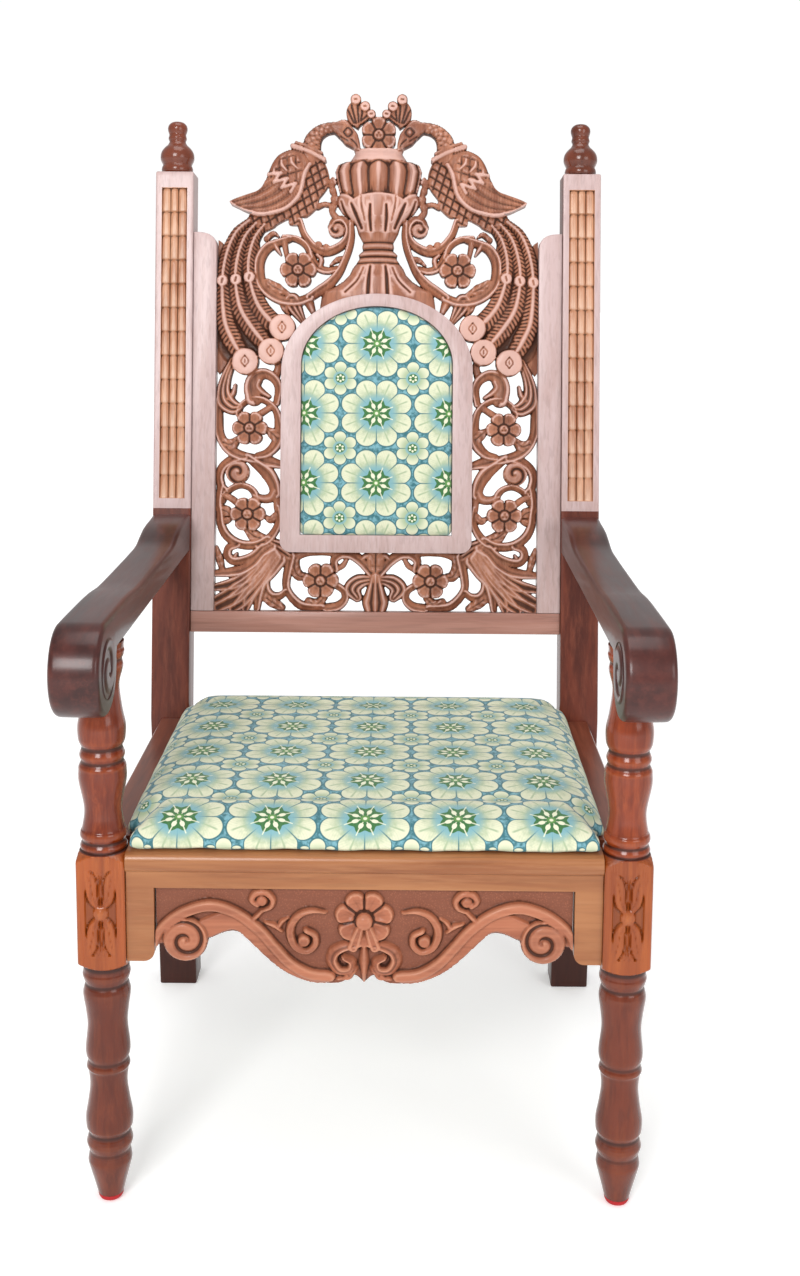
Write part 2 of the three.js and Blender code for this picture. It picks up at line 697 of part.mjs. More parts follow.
function carvedBack() {
  const parts = [];
  const full = carvingThickness;
  const web = full - 7; // height of the plain bands
  const grow = (points) => points.map(placed);
  const add = (geometry) => parts.push(solidOf(geometry));
  const disc = (at, radius, height) => add(discGeometry(...placed(at), radius, height));
  const flower = (at, radius, height) => add(flowerGeometry(...placed(at), radius, height));
  const plate = (points, height, ease) => add(prism(shapeOf(grow(points)), 0, height, ease));

  for (const side of [-1, 1]) {
    const turn = (points) => points.map(([u, v]) => [side * u, v]);
    const band = (points, widths, steps) => {
      add(strokeGeometry(grow(turn(points)), widths, web, steps, flatSection));
    };
    const leaf = (points, widths, height, steps) => {
      add(strokeGeometry(grow(turn(points)), widths, height, steps));
    };

    // Bird: tail feathers with their discs, ending in three large ones
    leaf([[176, 722], [207, 697], [220, 660], [225, 627], [224, 590], [212, 545], [190, 511]],
      [12, 18, 23, 24], full - 5, 6);
    leaf([[164, 720], [192, 695], [204, 660], [205, 630], [199, 590], [182, 553], [153, 527]],
      [12, 17, 23, 24], full - 5, 6);
    leaf([[152, 716], [177, 694], [186, 660], [185, 633], [178, 600], [160, 575], [136, 561]],
      [14, 17, 23, 24], full - 5, 6);
    [[190, 511], [153, 527], [136, 561]].forEach(([u, v]) => disc([side * u, v], 19, full));
    [[224, 627], [205, 630], [184, 633]].forEach(([u, v]) => disc([side * u, v], 8.5, full));
    plate(turn([[234, 688], [222, 680], [229, 620], [222, 560], [212, 520], [234, 507]]), 8, 0);

    // Bird: body, wing, neck, head and crown
    plate(turn([[78, 806], [71, 782], [76, 760], [88, 736], [104, 722], [130, 711], [150, 706], [184, 722],
      [120, 806]]), full - 5, 4);
    plate(turn([[104, 812], [132, 818], [146, 811], [167, 766], [180, 755], [214, 742], [190, 729],
      [160, 725],
      [135, 730], [115, 750], [109, 780]]), full, 3);
    plate(turn([[112, 803], [142, 806], [156, 778], [132, 744], [117, 764]]), full + 4, 3);
    leaf([[99, 812], [95, 832], [84, 846], [70, 850], [52, 848]], [28, 23, 20, 18, 14], full - 3, 5);
    band([[122, 822], [77, 804]], [9, 9], 1);
    leaf([[58, 852], [44, 844], [30, 820]], [14, 26, 7], full, 3);
    plate(turn([[43, 858], [47, 872], [42, 886], [30, 886], [12, 872], [24, 860]]), full - 7, 3);
    const tips = [[33, 891, 7.5], [20, 881, 7], [10, 870, 6]];
    tips.forEach(([u, v, radius]) => disc([side * u, v], radius, full - 3));
    band([[115, 716], [108, 700], [99, 684]], [9, 7, 9], 2);

    // Scrolls and flower beside the vase
    flower([side * 115, 643], 26, full - 2);
    band([[36, 716], [34, 696], [42, 670], [56, 644], [78, 619], [104, 603], [132, 598], [158, 610],
      [173, 632],
      [175, 656], [165, 678], [146, 690], [122, 688], [103, 677], [97, 655]],
      [9, 12, 13, 13, 17, 15, 12, 11], 14);
    band([[122, 692], [104, 684], [84, 678], [64, 677], [48, 686], [42, 700], [46, 713], [56, 718]],
      [8, 13, 13, 9, 8], 7);
    disc([side * 59, 704], 13, web + 3);
    band([[94, 664], [90, 652], [78, 642], [56, 644]], [8, 11, 8], 3);
    band([[66, 776], [67, 745], [58, 716]], [9, 12, 9], 3);
    band([[90, 738], [66, 744]], [8, 8], 1);
    band([[170, 668], [156, 678], [144, 668]], [9, 10, 4], 2);
    band([[178, 690], [184, 712]], [20, 16], 1);
    leaf([[150, 606], [128, 593], [106, 590]], [8, 18, 12], web, 2);
    band([[110, 600], [106, 586], [103, 570]], [16, 9, 14], 2);

    // Side panel: leaf, curls, and two flowers in rings
    flower([side * 184, 416], 26, full - 2);
    flower([side * 186, 292], 26, full - 2);
    leaf([[210, 510], [219, 488], [223, 464], [219, 448], [200, 443]], [7, 14, 21, 18, 8], full - 4, 4);
    band([[184, 458], [184, 480], [166, 496], [148, 488], [142, 470], [148, 452]], [15, 16, 14, 10, 9], 6);
    band([[182, 462], [154, 466]], [11, 7], 1);
    band([[148, 520], [141, 500], [146, 486]], [8, 9, 8], 2);
    band([[226, 452], [229, 420], [219, 396], [196, 380], [170, 371], [138, 362]], [8, 10, 13, 14, 12], 5);
    band([[194, 436], [194, 450], [176, 459], [158, 452], [145, 434], [142, 410], [152, 388], [178, 377]],
      [7, 7, 7, 9, 15, 12, 8], 7);
    band([[176, 434], [152, 446]], [6, 6], 1);
    band([[192, 375], [212, 373], [227, 358], [230, 340], [226, 318], [229, 296], [226, 270],
      [209, 251], [184, 248],
      [160, 256], [145, 276], [141, 304]], [9, 13, 12, 10, 11, 10, 12, 14, 9, 8], 11);
    disc([side * 203, 353], 15, web + 3);
    band([[184, 374], [166, 358], [154, 338], [150, 320], [162, 311], [178, 312]], [9, 15, 17, 16, 9], 5);
    band([[228, 310], [216, 327], [199, 333], [183, 328], [176, 312]], [7, 7, 7, 7], 4);
    band([[214, 376], [204, 366]], [12, 12], 1);
    leaf([[144, 334], [139, 312], [143, 292]], [8, 12, 8], web, 2);

    // Corner leaf, its fingers fanning from the arch frame's corner
    leaf([[146, 246], [166, 224], [192, 211], [231, 207]], [10, 13, 15, 9], full - 4, 3);
    leaf([[150, 240], [178, 212], [204, 198], [230, 186]], [10, 17, 17, 9], full - 3, 3);
    leaf([[146, 236], [180, 200], [206, 178], [231, 157]], [12, 22, 26, 16], full, 3);
    leaf([[146, 230], [172, 198], [188, 176], [194, 155]], [10, 16, 15, 10], full - 3, 3);
    leaf([[140, 230], [160, 206], [172, 180], [172, 155]], [10, 14, 14, 12], full - 4, 3);
    leaf([[132, 226], [152, 206], [164, 186], [158, 168], [138, 158]], [10, 13, 13, 13, 10], full - 5, 4);
    band([[200, 249], [216, 240], [217, 226], [206, 214]], [10, 12, 10], 3);
    band([[158, 256], [138, 232], [118, 218]], [16, 24, 16], 2);

    // Bottom panel: flower in its ring, running to the lily
    flower([side * 80, 197], 26, full - 2);
    band([[108, 206], [118, 216], [116, 230], [88, 238], [48, 237], [28, 230], [16, 216], [4, 200]],
      [8, 14, 8, 8, 13, 12], 7);
    band([[120, 214], [134, 190], [126, 173], [110, 161], [82, 157], [56, 158], [43, 164], [42, 180],
      [56, 190]],
      [10, 10, 11, 13, 14, 10, 10, 8], 8);
    band([[62, 210], [57, 226], [46, 232]], [8, 10, 8], 2);
    leaf([[4, 200], [22, 197], [38, 184]], [14, 24, 20], full - 3, 2);
  }

  // Middle: lily, vase and top flower
  add(strokeGeometry(grow([[0, 206], [0, 178], [0, 154]]), [14, 38, 32], full - 2, 2));
  add(strokeGeometry(grow([[0, 198], [0, 222], [0, 240]]), [10, 28, 14], full - 2, 2));
  add(vaseGeometry());
  flower([0, 841], 27, full - 1);

  const inside = solidOf(boxBetween(
    [-(stileInner - fitGap), backRailTop + fitGap, -1],
    [stileInner - fitGap, archTop + crestHeight + 1, 2 * full],
  ));
  const room = archShape(
    archHalfWidth + fitGap, archFoot - fitGap, archSpring, archTop + fitGap, archCornerRadius,
  );
  return joined(parts).intersect(inside).subtract(solidOf(prism(room, -1, 2 * full)));
}

// Half-round vase with gadroons and a spreading foot, from [radius, height] rows
function vaseGeometry() {
  const rows = [
    [84, 588, 0], [80, 606, 0], [50, 622, 0], [30, 642, 0], [21, 659, 0], [26, 667, 0], [21, 675, 0],
    [25, 683, 0], [23, 692, 0], [28, 706, 0], [44, 722, 0.4], [58, 738, 0.7], [62, 750, 1], [53, 756, 1],
    [60, 770, 1], [62, 787, 1], [56, 799, 0.8], [38, 806, 0], [33, 813, 0], [36, 820, 0],
  ];
  const lobes = 5;
  const columns = lobes * 2;
  const widest = 62;
  const corners = [];
  for (const [radius, v, gadroon] of rows) {
    for (let k = 0; k <= columns; k++) {
      const angle = (Math.PI * k) / columns;
      const groove = k % 2 === 0 && k > 0 && k < columns ? 1 - 0.09 * gadroon : 1;
      const [x, y] = placed([radius * Math.cos(angle) * groove, v]);
      const depth = Math.min(1, radius / widest + 0.15);
      corners.push(x, y, 6 + (carvingThickness - 4) * Math.sin(angle) * depth * groove);
    }
  }
  const n = columns + 1;
  const rings = [];
  rows.forEach((_, j) => {
    const ring = corners.slice(j * n * 3, (j + 1) * n * 3);
    const foot = [ring.at(-3), ring.at(-2), 0, ring[0], ring[1], 0];
    rings.push([...ring, ...foot]);
  });
  const m = n + 2;
  const faces = [];
  for (let j = 0; j < rows.length - 1; j++) {
    for (let k = 0; k < m; k++) {
      const a = j * m + k;
      const b = j * m + ((k + 1) % m);
      faces.push(a, b, b + m, a, b + m, a + m);
    }
  }
  const last = (rows.length - 1) * m;
  for (let k = 1; k < m - 1; k++) faces.push(0, k + 1, k, last, last + k, last + k + 1);
  const geometry = new THREE.BufferGeometry();
  geometry.setAttribute("position", new THREE.Float32BufferAttribute(rings.flat(), 3));
  geometry.setIndex(faces);
  return geometry;
}
const carving = addPiece("carved_back", carvedBack(), carvedWood, back);
carving.position.z = frameFace - carvingSetback - carvingThickness;

// The origin is at the middle of the footprint, on the floor
chair.updateMatrixWorld(true);
const bounds = new THREE.Box3().setFromObject(chair);
const centre = bounds.getCenter(new THREE.Vector3());
chair.position.set(-centre.x, -centre.y, -bounds.min.z);

export default chair;
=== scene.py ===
import math

import bmesh
import bpy
import numpy as np
from mathutils import Matrix, Vector


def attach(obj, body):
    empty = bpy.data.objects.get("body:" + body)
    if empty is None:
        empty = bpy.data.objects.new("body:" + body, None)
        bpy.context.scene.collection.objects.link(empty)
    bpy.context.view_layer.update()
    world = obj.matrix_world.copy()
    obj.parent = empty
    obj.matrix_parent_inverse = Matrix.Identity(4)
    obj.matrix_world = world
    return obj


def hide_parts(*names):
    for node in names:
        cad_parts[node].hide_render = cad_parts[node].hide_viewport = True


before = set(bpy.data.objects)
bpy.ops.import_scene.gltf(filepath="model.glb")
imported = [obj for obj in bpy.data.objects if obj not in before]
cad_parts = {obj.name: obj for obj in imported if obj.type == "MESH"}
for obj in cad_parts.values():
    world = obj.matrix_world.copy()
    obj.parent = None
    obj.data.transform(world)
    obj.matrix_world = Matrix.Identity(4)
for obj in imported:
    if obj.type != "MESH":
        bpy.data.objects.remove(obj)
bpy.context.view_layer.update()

# Sizes and places in millimetres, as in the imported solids. Depths named POST_Y and the like are
# measured from the front faces of the leg blocks, which lie SHIFT_Y in front of the origin.
MM = 0.001
SHIFT_Y = 277.0376
POST_Y = 490.0  # front of the rear posts at seat height
SEAT_Y = POST_Y - SHIFT_Y
SEAT_Z = 425.0  # top of the seat rails
ARM_UNDER = 660.0
ARM_TOP_REAR = 713.0
SCROLL_Y, SCROLL_Z, SCROLL_RADIUS = -60.0, 652.0, 50.0
BLOCK_LOW, BLOCK_HIGH = 289.0, 422.0
EDGE_SHARE = 0.62  # share of a grid step within which points are moved onto an outline
RECLINE = math.radians(8.4)
RAKE = math.radians(6.1)
LEG_X = 292.0
TILE_LOW, TILE_HIGH, TILE_ROWS = 315.0, 759.0, 13
CLOTH_REPEAT = (104.0, 100.0)
SIDES = (("left", -1), ("right", 1))


def back_point(u, v, w):
    """A point of the reclined back, from its own coordinates, in metres."""
    y = SEAT_Y + v * math.sin(RECLINE) - w * math.cos(RECLINE)
    z = SEAT_Z + v * math.cos(RECLINE) + w * math.sin(RECLINE)
    return np.stack(np.broadcast_arrays(u, y, z), axis=-1) * MM


# Materials
class Sum:
    """A node socket that can be used in arithmetic."""

    def __init__(self, tree, socket):
        self.tree = tree
        self.socket = socket

    def _op(self, op, *others):
        node = self.tree.nodes.new("ShaderNodeMath")
        node.operation = op
        self.tree.links.new(self.socket, node.inputs[0])
        for i, other in enumerate(others, 1):
            if isinstance(other, Sum):
                self.tree.links.new(other.socket, node.inputs[i])
            else:
                node.inputs[i].default_value = other
        return Sum(self.tree, node.outputs[0])

    def __add__(self, other):
        return self._op("ADD", other)

    def __sub__(self, other):
        return self._op("SUBTRACT", other)

    def __mul__(self, other):
        return self._op("MULTIPLY", other)

    def __truediv__(self, other):
        return self._op("DIVIDE", other)

    def fract(self):
        return self._op("FRACT")

    def abs(self):
        return self._op("ABSOLUTE")

    def sin(self):
        return self._op("SINE")

    def cos(self):
        return self._op("COSINE")

    def sqrt(self):
        return self._op("SQRT")

    def power(self, other):
        return self._op("POWER", other)

    def atan2(self, other):
        return self._op("ARCTAN2", other)

    def step(self, low, high):
        """0 below low to 1 above high, smoothly; low may be the larger."""
        node = self.tree.nodes.new("ShaderNodeMapRange")
        node.interpolation_type = "SMOOTHSTEP"
        flip = low > high
        self.tree.links.new(self.socket, node.inputs[0])
        node.inputs[1].default_value = high if flip else low
        node.inputs[2].default_value = low if flip else high
        node.inputs[3].default_value = 1.0 if flip else 0.0
        node.inputs[4].default_value = 0.0 if flip else 1.0
        return Sum(self.tree, node.outputs[0])


def start(name):
    """A new material, its nodes and its shader."""
    mat = bpy.data.materials.new(name)
    mat.use_nodes = True
    tree = mat.node_tree
    shader = tree.nodes["Principled BSDF"]
    return mat, tree, shader


def mix(tree, share, a, b):
    """Colour a turned into b by share."""
    node = tree.nodes.new("ShaderNodeMix")
    node.data_type = "RGBA"
    sockets = [s for s in node.inputs if s.type == "RGBA"]
    if isinstance(share, Sum):
        tree.links.new(share.socket, node.inputs[0])
    else:
        node.inputs[0].default_value = share
    for socket, value in zip(sockets, (a, b)):
        if isinstance(value, (tuple, list)):
            socket.default_value = (*value[:3], 1)
        else:
            tree.links.new(value, socket)
    return [s for s in node.outputs if s.type == "RGBA"][0]


def noise(tree, vector, scale, detail=3.0, rough=0.55, distort=0.0):
    """Noise between 0 and 1."""
    node = tree.nodes.new("ShaderNodeTexNoise")
    tree.links.new(vector, node.inputs["Vector"])
    node.inputs["Scale"].default_value = scale
    node.inputs["Detail"].default_value = detail
    node.inputs["Roughness"].default_value = rough
    node.inputs["Distortion"].default_value = distort
    return Sum(tree, node.outputs["Fac"])


def mapped(tree, scale, rotation=(0, 0, 0)):
    """Object coordinates, scaled and turned."""
    coords = tree.nodes.new("ShaderNodeTexCoord")
    node = tree.nodes.new("ShaderNodeMapping")
    tree.links.new(coords.outputs["Object"], node.inputs["Vector"])
    node.inputs["Scale"].default_value = scale
    node.inputs["Rotation"].default_value = rotation
    return node.outputs["Vector"]


def bump(tree, shader, height, distance, strength=1.0):
    """Small relief of the surface."""
    node = tree.nodes.new("ShaderNodeBump")
    node.inputs["Strength"].default_value = strength
    node.inputs["Distance"].default_value = distance
    tree.links.new(height.socket, node.inputs["Height"])
    tree.links.new(node.outputs["Normal"], shader.inputs["Normal"])


def wood(name, dark, mid, light, along, roughness=0.4, coat=0.0, relief=False, stipple=False, fine=1.0,
         painted_highlight=0.35, figure=0.5, glare=None, polish=0.2, edges=True, low=1.0):
    """Lacquered wood: long grain along one axis, pores, ripples, painted highlights on ridges and edges, and
    painted shade in hollows.
    """
    mat, tree, shader = start(name)
    long, cross = 1.6, 22.0 * fine
    scale = [cross, cross, cross]
    scale["XYZ".index(along)] = long
    leans = along == "Z" and name.startswith("back")  # the pieces of the reclined back
    rotation = (RECLINE, 0, 0) if leans else (0, 0, 0)
    grain_at = mapped(tree, scale, rotation)
    broad = noise(tree, grain_at, 1.4, 3, 0.6, 0.5)
    streak = noise(tree, grain_at, 6.0, 5, 0.68, 0.2)
    pores_scale = [c * 9 for c in scale]
    pores_scale["XYZ".index(along)] = 14
    pores = noise(tree, mapped(tree, pores_scale, rotation), 1.0, 2, 0.5)
    cloud = noise(tree, mapped(tree, (3.1, 3.1, 3.1)), 2.0, 2, 0.5)
    colour = mix(tree, broad.step(0.36, 0.66), dark, mid)
    colour = mix(tree, streak.step(0.42, 0.72) * figure, colour, light)
    colour = mix(tree, pores.step(0.5, 0.33) * 0.5 * figure, colour, tuple(c * 0.45 for c in dark))
    colour = mix(tree, cloud.step(0.4, 0.75) * 0.3, colour, mid)
    height = pores * 0.25 + streak * 0.25
    # colour of the painted highlights
    bright = glare or tuple(min(1, c * 1.3 + 0.04) for c in light)
    if relief:
        attribute = tree.nodes.new("ShaderNodeAttribute")
        attribute.attribute_name = "relief"
        raised = Sum(tree, attribute.outputs["Fac"])
        # painted shade in the carving's hollows, then a painted highlight on its ridges
        colour = mix(tree, raised.step(0.5, 0.08) * 0.95, colour, tuple(c * 0.2 for c in dark))
        colour = mix(tree, raised.step(0.56, 0.92) * painted_highlight, colour, bright)
        if stipple:
            cells = tree.nodes.new("ShaderNodeTexVoronoi")
            tree.links.new(mapped(tree, (1, 1, 1)), cells.inputs["Vector"])
            cells.inputs["Scale"].default_value = 420
            dots = Sum(tree, cells.outputs["Distance"])
            ground = tree.nodes.new("ShaderNodeAttribute")
            ground.attribute_name = "ground"
            on_ground = Sum(tree, ground.outputs["Fac"])
            height = height + dots * on_ground * 1.6
            colour = mix(tree, on_ground * (dots.step(0.0, 0.5) * 0.5 + 0.35), colour,
                         tuple(c * 0.72 for c in dark))
    elif edges:
        # painted highlight on convex edges and painted shade in concave corners, from the mesh's pointiness
        pointy = tree.nodes.new("ShaderNodeNewGeometry")
        edge = Sum(tree, pointy.outputs["Pointiness"])
        colour = mix(tree, edge.step(0.515, 0.6) * painted_highlight, colour, bright)
        colour = mix(tree, edge.step(0.485, 0.42) * 0.6, colour, tuple(c * 0.4 for c in dark))
    # Painted shadow under the seat: the wood is painted darker below it, where its shade falls.
    if low < 1:  # the legs grow darker below the seat
        spot = tree.nodes.new("ShaderNodeTexCoord")
        parts = tree.nodes.new("ShaderNodeSeparateXYZ")
        tree.links.new(spot.outputs["Object"], parts.inputs[0])
        seat_shadow = Sum(tree, parts.outputs["Z"]).step(0.42, 0.26)
        colour = mix(tree, seat_shadow * (1 - low), colour, tuple(c * 0.1 for c in dark))
    tree.links.new(colour, shader.inputs["Base Color"])
    rough = streak * 0.18 + cloud * 0.16 + (roughness - 0.16)
    if relief:  # no shine in the hollows
        rough = rough + raised.step(0.5, 0.15) * 0.4
    tree.links.new(rough.socket, shader.inputs["Roughness"])
    shader.inputs["Specular IOR Level"].default_value = 0.22
    shader.inputs["Coat Weight"].default_value = coat
    shader.inputs["Coat Roughness"].default_value = polish
    bump(tree, shader, height, 0.0006, 0.5)
    return mat


def felt(name, colour):
    """Short red pile under the feet."""
    mat, tree, shader = start(name)
    fuzz = noise(tree, mapped(tree, (1, 1, 1)), 900, 3, 0.7)
    tree.links.new(mix(tree, fuzz, tuple(c * 0.6 for c in colour), colour), shader.inputs["Base Color"])
    shader.inputs["Roughness"].default_value = 0.9
    bump(tree, shader, fuzz, 0.0006)
    return mat


def fabric(name, pitch, rise, origin):
    """Furnishing cotton: a square repeat of eight-petalled blooms with smaller ones between them."""
    mat, tree, shader = start(name)
    coords = tree.nodes.new("ShaderNodeAttribute")
    coords.attribute_name = "cloth"
    split = tree.nodes.new("ShaderNodeSeparateXYZ")
    tree.links.new(coords.outputs["Vector"], split.inputs[0])
    x = Sum(tree, split.outputs[0]) + origin[0]
    y = Sum(tree, split.outputs[1]) + origin[1]
    wobble = noise(tree, coords.outputs["Vector"], 0.16, 2, 0.6)
    speck = noise(tree, coords.outputs["Vector"], 0.9, 2, 0.7)
    cream = (0.60, 0.61, 0.44)
    sage = (0.33, 0.41, 0.26)
    teal = (0.022, 0.125, 0.15)
    blue = (0.15, 0.34, 0.40)
    green = (0.025, 0.13, 0.03)
    leafy = (0.09, 0.24, 0.05)
    white = (0.66, 0.67, 0.50)
    colour = mix(tree, wobble.step(0.35, 0.65), blue, teal)

    def polar(share_x, share_y, count, turn):
        cx = ((x / pitch + share_x).fract() - 0.5) * pitch
        cy = ((y / rise + share_y).fract() - 0.5) * (rise * 1.06)
        r = (cx * cx + cy * cy).sqrt()
        share = (cx.atan2(cy) * (count / (2 * math.pi)) + turn).fract() - 0.5
        return r, share, share * r * (2 * math.pi / count)

    # Bloom: petals with dark seams, a blue ring and a green heart of buds
    r, share, arc = polar(0.0, 0.0, 8, 0.0)
    petal = (share * math.pi).cos().abs().power(0.5)
    edge = petal * (0.155 * pitch) + 0.355 * pitch - r
    colour = mix(tree, edge.step(-2.0, -0.8), colour, teal)
    petals = mix(tree, (r / pitch + wobble * 0.25).step(0.36, 0.56), sage, cream)
    petals = mix(tree, share.abs().step(0.05, 0.02) * edge.step(3.0, 8.0), petals, sage)
    veins = (r * 1.1 - share.abs() * 60.0).sin().step(0.55, 0.95) * share.abs().step(0.06, 0.2)
    petals = mix(tree, veins * 0.25, petals, sage)
    colour = mix(tree, edge.step(0.1, 1.2), colour, petals)
    seam = share.abs().step(0.455, 0.485) * edge.step(-3.0, 0.0)
    colour = mix(tree, seam * 0.85, colour, teal)
    colour = mix(tree, (r + speck * 12.0).step(0.39 * pitch, 0.26 * pitch) * 0.9, colour, blue)
    notch = (share * (2 * math.pi)).cos() * (0.02 * pitch) + 0.19 * pitch - r
    colour = mix(tree, notch.step(-0.3, 0.7), colour, green)
    ray = arc.abs().step(1.0, 0.4) * (r - 0.05 * pitch).step(0.0, 1.0) * r.step(0.25 * pitch, 0.24 * pitch)
    colour = mix(tree, ray * 0.85, colour, white)
    bud = ((arc * 0.75).power(2.0) + ((r - 0.115 * pitch) * 0.5).power(2.0)).step(5.2, 3.2)
    colour = mix(tree, bud, colour, white)
    colour = mix(tree, r.step(0.052 * pitch, 0.042 * pitch), colour, leafy)
    colour = mix(tree, r.step(0.026 * pitch, 0.018 * pitch), colour, white)
    # Smaller bloom between four large ones
    r, share, arc = polar(0.5, 0.5, 6, 0.5)
    petal = (share * math.pi).cos().abs().power(0.6)
    edge = petal * (0.09 * pitch) + 0.155 * pitch - r
    colour = mix(tree, edge.step(-1.8, -0.7), colour, teal)
    colour = mix(tree, edge.step(0.0, 1.0), colour, mix(tree, (r / pitch).step(0.10, 0.22), sage, cream))
    colour = mix(tree, share.abs().step(0.45, 0.485) * edge.step(-2.0, 0.0), colour, teal)
    heart = (r + speck * 3.0).step(0.125 * pitch, 0.10 * pitch)
    colour = mix(tree, heart * 0.8, colour, blue)
    colour = mix(tree, r.step(0.075 * pitch, 0.062 * pitch), colour, green)
    bud = ((arc * 0.9).power(2.0) + ((r - 0.042 * pitch) * 0.8).power(2.0)).step(2.6, 1.4)
    colour = mix(tree, bud, colour, white)
    # Threads
    warp = (x * (2 * math.pi / 0.9)).sin()
    weft = (y * (2 * math.pi / 0.9)).sin()
    slub = noise(tree, mapped(tree, (1400, 90, 90)), 1.0, 2, 0.5)
    colour = mix(tree, slub.step(0.5, 0.8) * 0.14, colour, (0.42, 0.41, 0.30))
    tree.links.new(colour, shader.inputs["Base Color"])
    shader.inputs["Roughness"].default_value = 0.72
    shader.inputs["Sheen Weight"].default_value = 0.2
    shader.inputs["Sheen Roughness"].default_value = 0.4
    bump(tree, shader, warp * weft + slub * 0.8, 0.00018, 0.6)
    return mat


carved_wood = wood("back_carving", (0.171, 0.055, 0.028), (0.302, 0.114, 0.06), (0.408, 0.187, 0.114), "Z",
                   0.42, 0.12, relief=True, painted_highlight=0.75, glare=(0.555, 0.351, 0.303))
apron_wood = wood("apron_carving", (0.206, 0.062, 0.031), (0.318, 0.104, 0.052), (0.404, 0.154, 0.083), "X",
                  0.42, 0.15, relief=True, stipple=True, painted_highlight=0.5, glare=(0.516, 0.238, 0.144))
# The pale woods are partly the wood's own colour and partly a painted reflection of light on flat glossy
# faces.
pale_wood = wood("back_frame_wood", (0.382, 0.264, 0.248), (0.432, 0.317, 0.308), (0.475, 0.37, 0.364), "Z",
                 0.40, 0.25, fine=1.6, figure=0.45, edges=False)
pale_wood_across = wood("back_rail_wood", (0.252, 0.112, 0.082), (0.315, 0.15, 0.113), (0.378, 0.205, 0.164),
                        "X", 0.40, 0.25, fine=1.6, figure=0.45, edges=False)
# low under 1 gives the painted shadow below the seat, here and in turned_wood
post_wood = wood("post_wood", (0.058, 0.01, 0.005), (0.115, 0.022, 0.01), (0.184, 0.045, 0.021), "Z", 0.34,
                 0.16, low=0.3)
tile_wood = wood("back_tile_wood", (0.274, 0.1, 0.044), (0.426, 0.204, 0.111), (0.532, 0.311, 0.2), "Z", 0.42,
                 0.25, relief=True, painted_highlight=0.65, glare=(0.608, 0.444, 0.348))
rail_wood = wood("rail_wood", (0.22, 0.074, 0.026), (0.305, 0.122, 0.046), (0.375, 0.175, 0.078), "X", 0.30,
                 0.25, figure=0.35, edges=False)
side_rail_wood = wood("side_rail_wood", (0.117, 0.029, 0.014), (0.198, 0.053, 0.027), (0.27, 0.084, 0.046),
                      "Y", 0.33, 0.25, edges=False)
turned_wood = wood("turned_wood", (0.11, 0.014, 0.003), (0.215, 0.034, 0.008), (0.31, 0.062, 0.015), "Z",
                   0.20, 0.34,
                   relief=True, painted_highlight=0.35, fine=0.8, glare=(0.42, 0.105, 0.03), polish=0.12, low=0.55)
block_wood = wood("block_wood", (0.18, 0.033, 0.005), (0.29, 0.062, 0.01), (0.37, 0.1, 0.02), "Z", 0.26, 0.3,
                  relief=True, painted_highlight=0.45, glare=(0.386, 0.117, 0.032))
finial_wood = wood("finial_wood", (0.072, 0.015, 0.006), (0.145, 0.033, 0.015), (0.205, 0.056, 0.026), "Z",
                   0.18, 0.4, fine=0.6, figure=0.3)
arm_wood = wood("arm_wood", (0.026, 0.005, 0.004), (0.056, 0.011, 0.008), (0.1, 0.022, 0.014), "Y", 0.36, 0.3,
                fine=0.7, polish=0.2)
red_felt = felt("red_felt", (0.50, 0.012, 0.016))


# Meshes
def add_mesh(name, points, faces, material, slot, *nodes, smooth=35, attributes=None):
    """An object from points in metres and faces; it stands for the named nodes."""
    mesh = bpy.data.meshes.new(name)
    if isinstance(faces, np.ndarray):
        mesh.vertices.add(len(points))
        mesh.vertices.foreach_set("co", np.asarray(points, dtype=np.float32).ravel())
        mesh.loops.add(faces.size)
        mesh.polygons.add(len(faces))
        mesh.loops.foreach_set("vertex_index", faces.astype(np.int32).ravel())
        mesh.polygons.foreach_set("loop_start", np.arange(0, faces.size, faces.shape[1], dtype=np.int32))
        mesh.update(calc_edges=True)
    else:
        mesh.from_pydata([tuple(p) for p in points], [], faces)
    for key, values in (attributes or {}).items():
        kind = "FLOAT" if np.ndim(values) == 1 else "FLOAT_VECTOR"
        layer = mesh.attributes.new(key, kind, "POINT")
        layer.data.foreach_set("value" if kind == "FLOAT" else "vector",
                               np.asarray(values, dtype=np.float32).ravel())
    mesh.validate()
    obj = bpy.data.objects.new(name, mesh)
    bpy.context.scene.collection.objects.link(obj)
    mesh.materials.append(material)
    mesh.shade_smooth()
    if smooth < 180:
        mesh.set_sharp_from_angle(angle=math.radians(smooth))
    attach(obj, "root")
    if nodes:
        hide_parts(*nodes)
    return obj


def spline(points, per=8):
    """Catmull-Rom points through the given ones, and their share along."""
    P = np.asarray(points, dtype=float)
    if len(P) == 2:
        t = np.linspace(0, 1, per + 1)[:, None]
        return P[0] + (P[1] - P[0]) * t, t[:, 0]
    Q = np.vstack([2 * P[0] - P[1], P, 2 * P[-1] - P[-2]])
    out, share = [], []
    for i in range(len(P) - 1):
        a, b, c, d = Q[i:i + 4]
        t = np.linspace(0, 1, per, endpoint=False)[:, None]
        out.append(0.5 * (2 * b + (c - a) * t + (2 * a - 5 * b + 4 * c - d) * t ** 2
                          + (3 * b - 3 * c + d - a) * t ** 3))
        share.append((i + t[:, 0]) / (len(P) - 1))
    return np.vstack(out + [P[-1:]]), np.concatenate(share + [[1.0]])


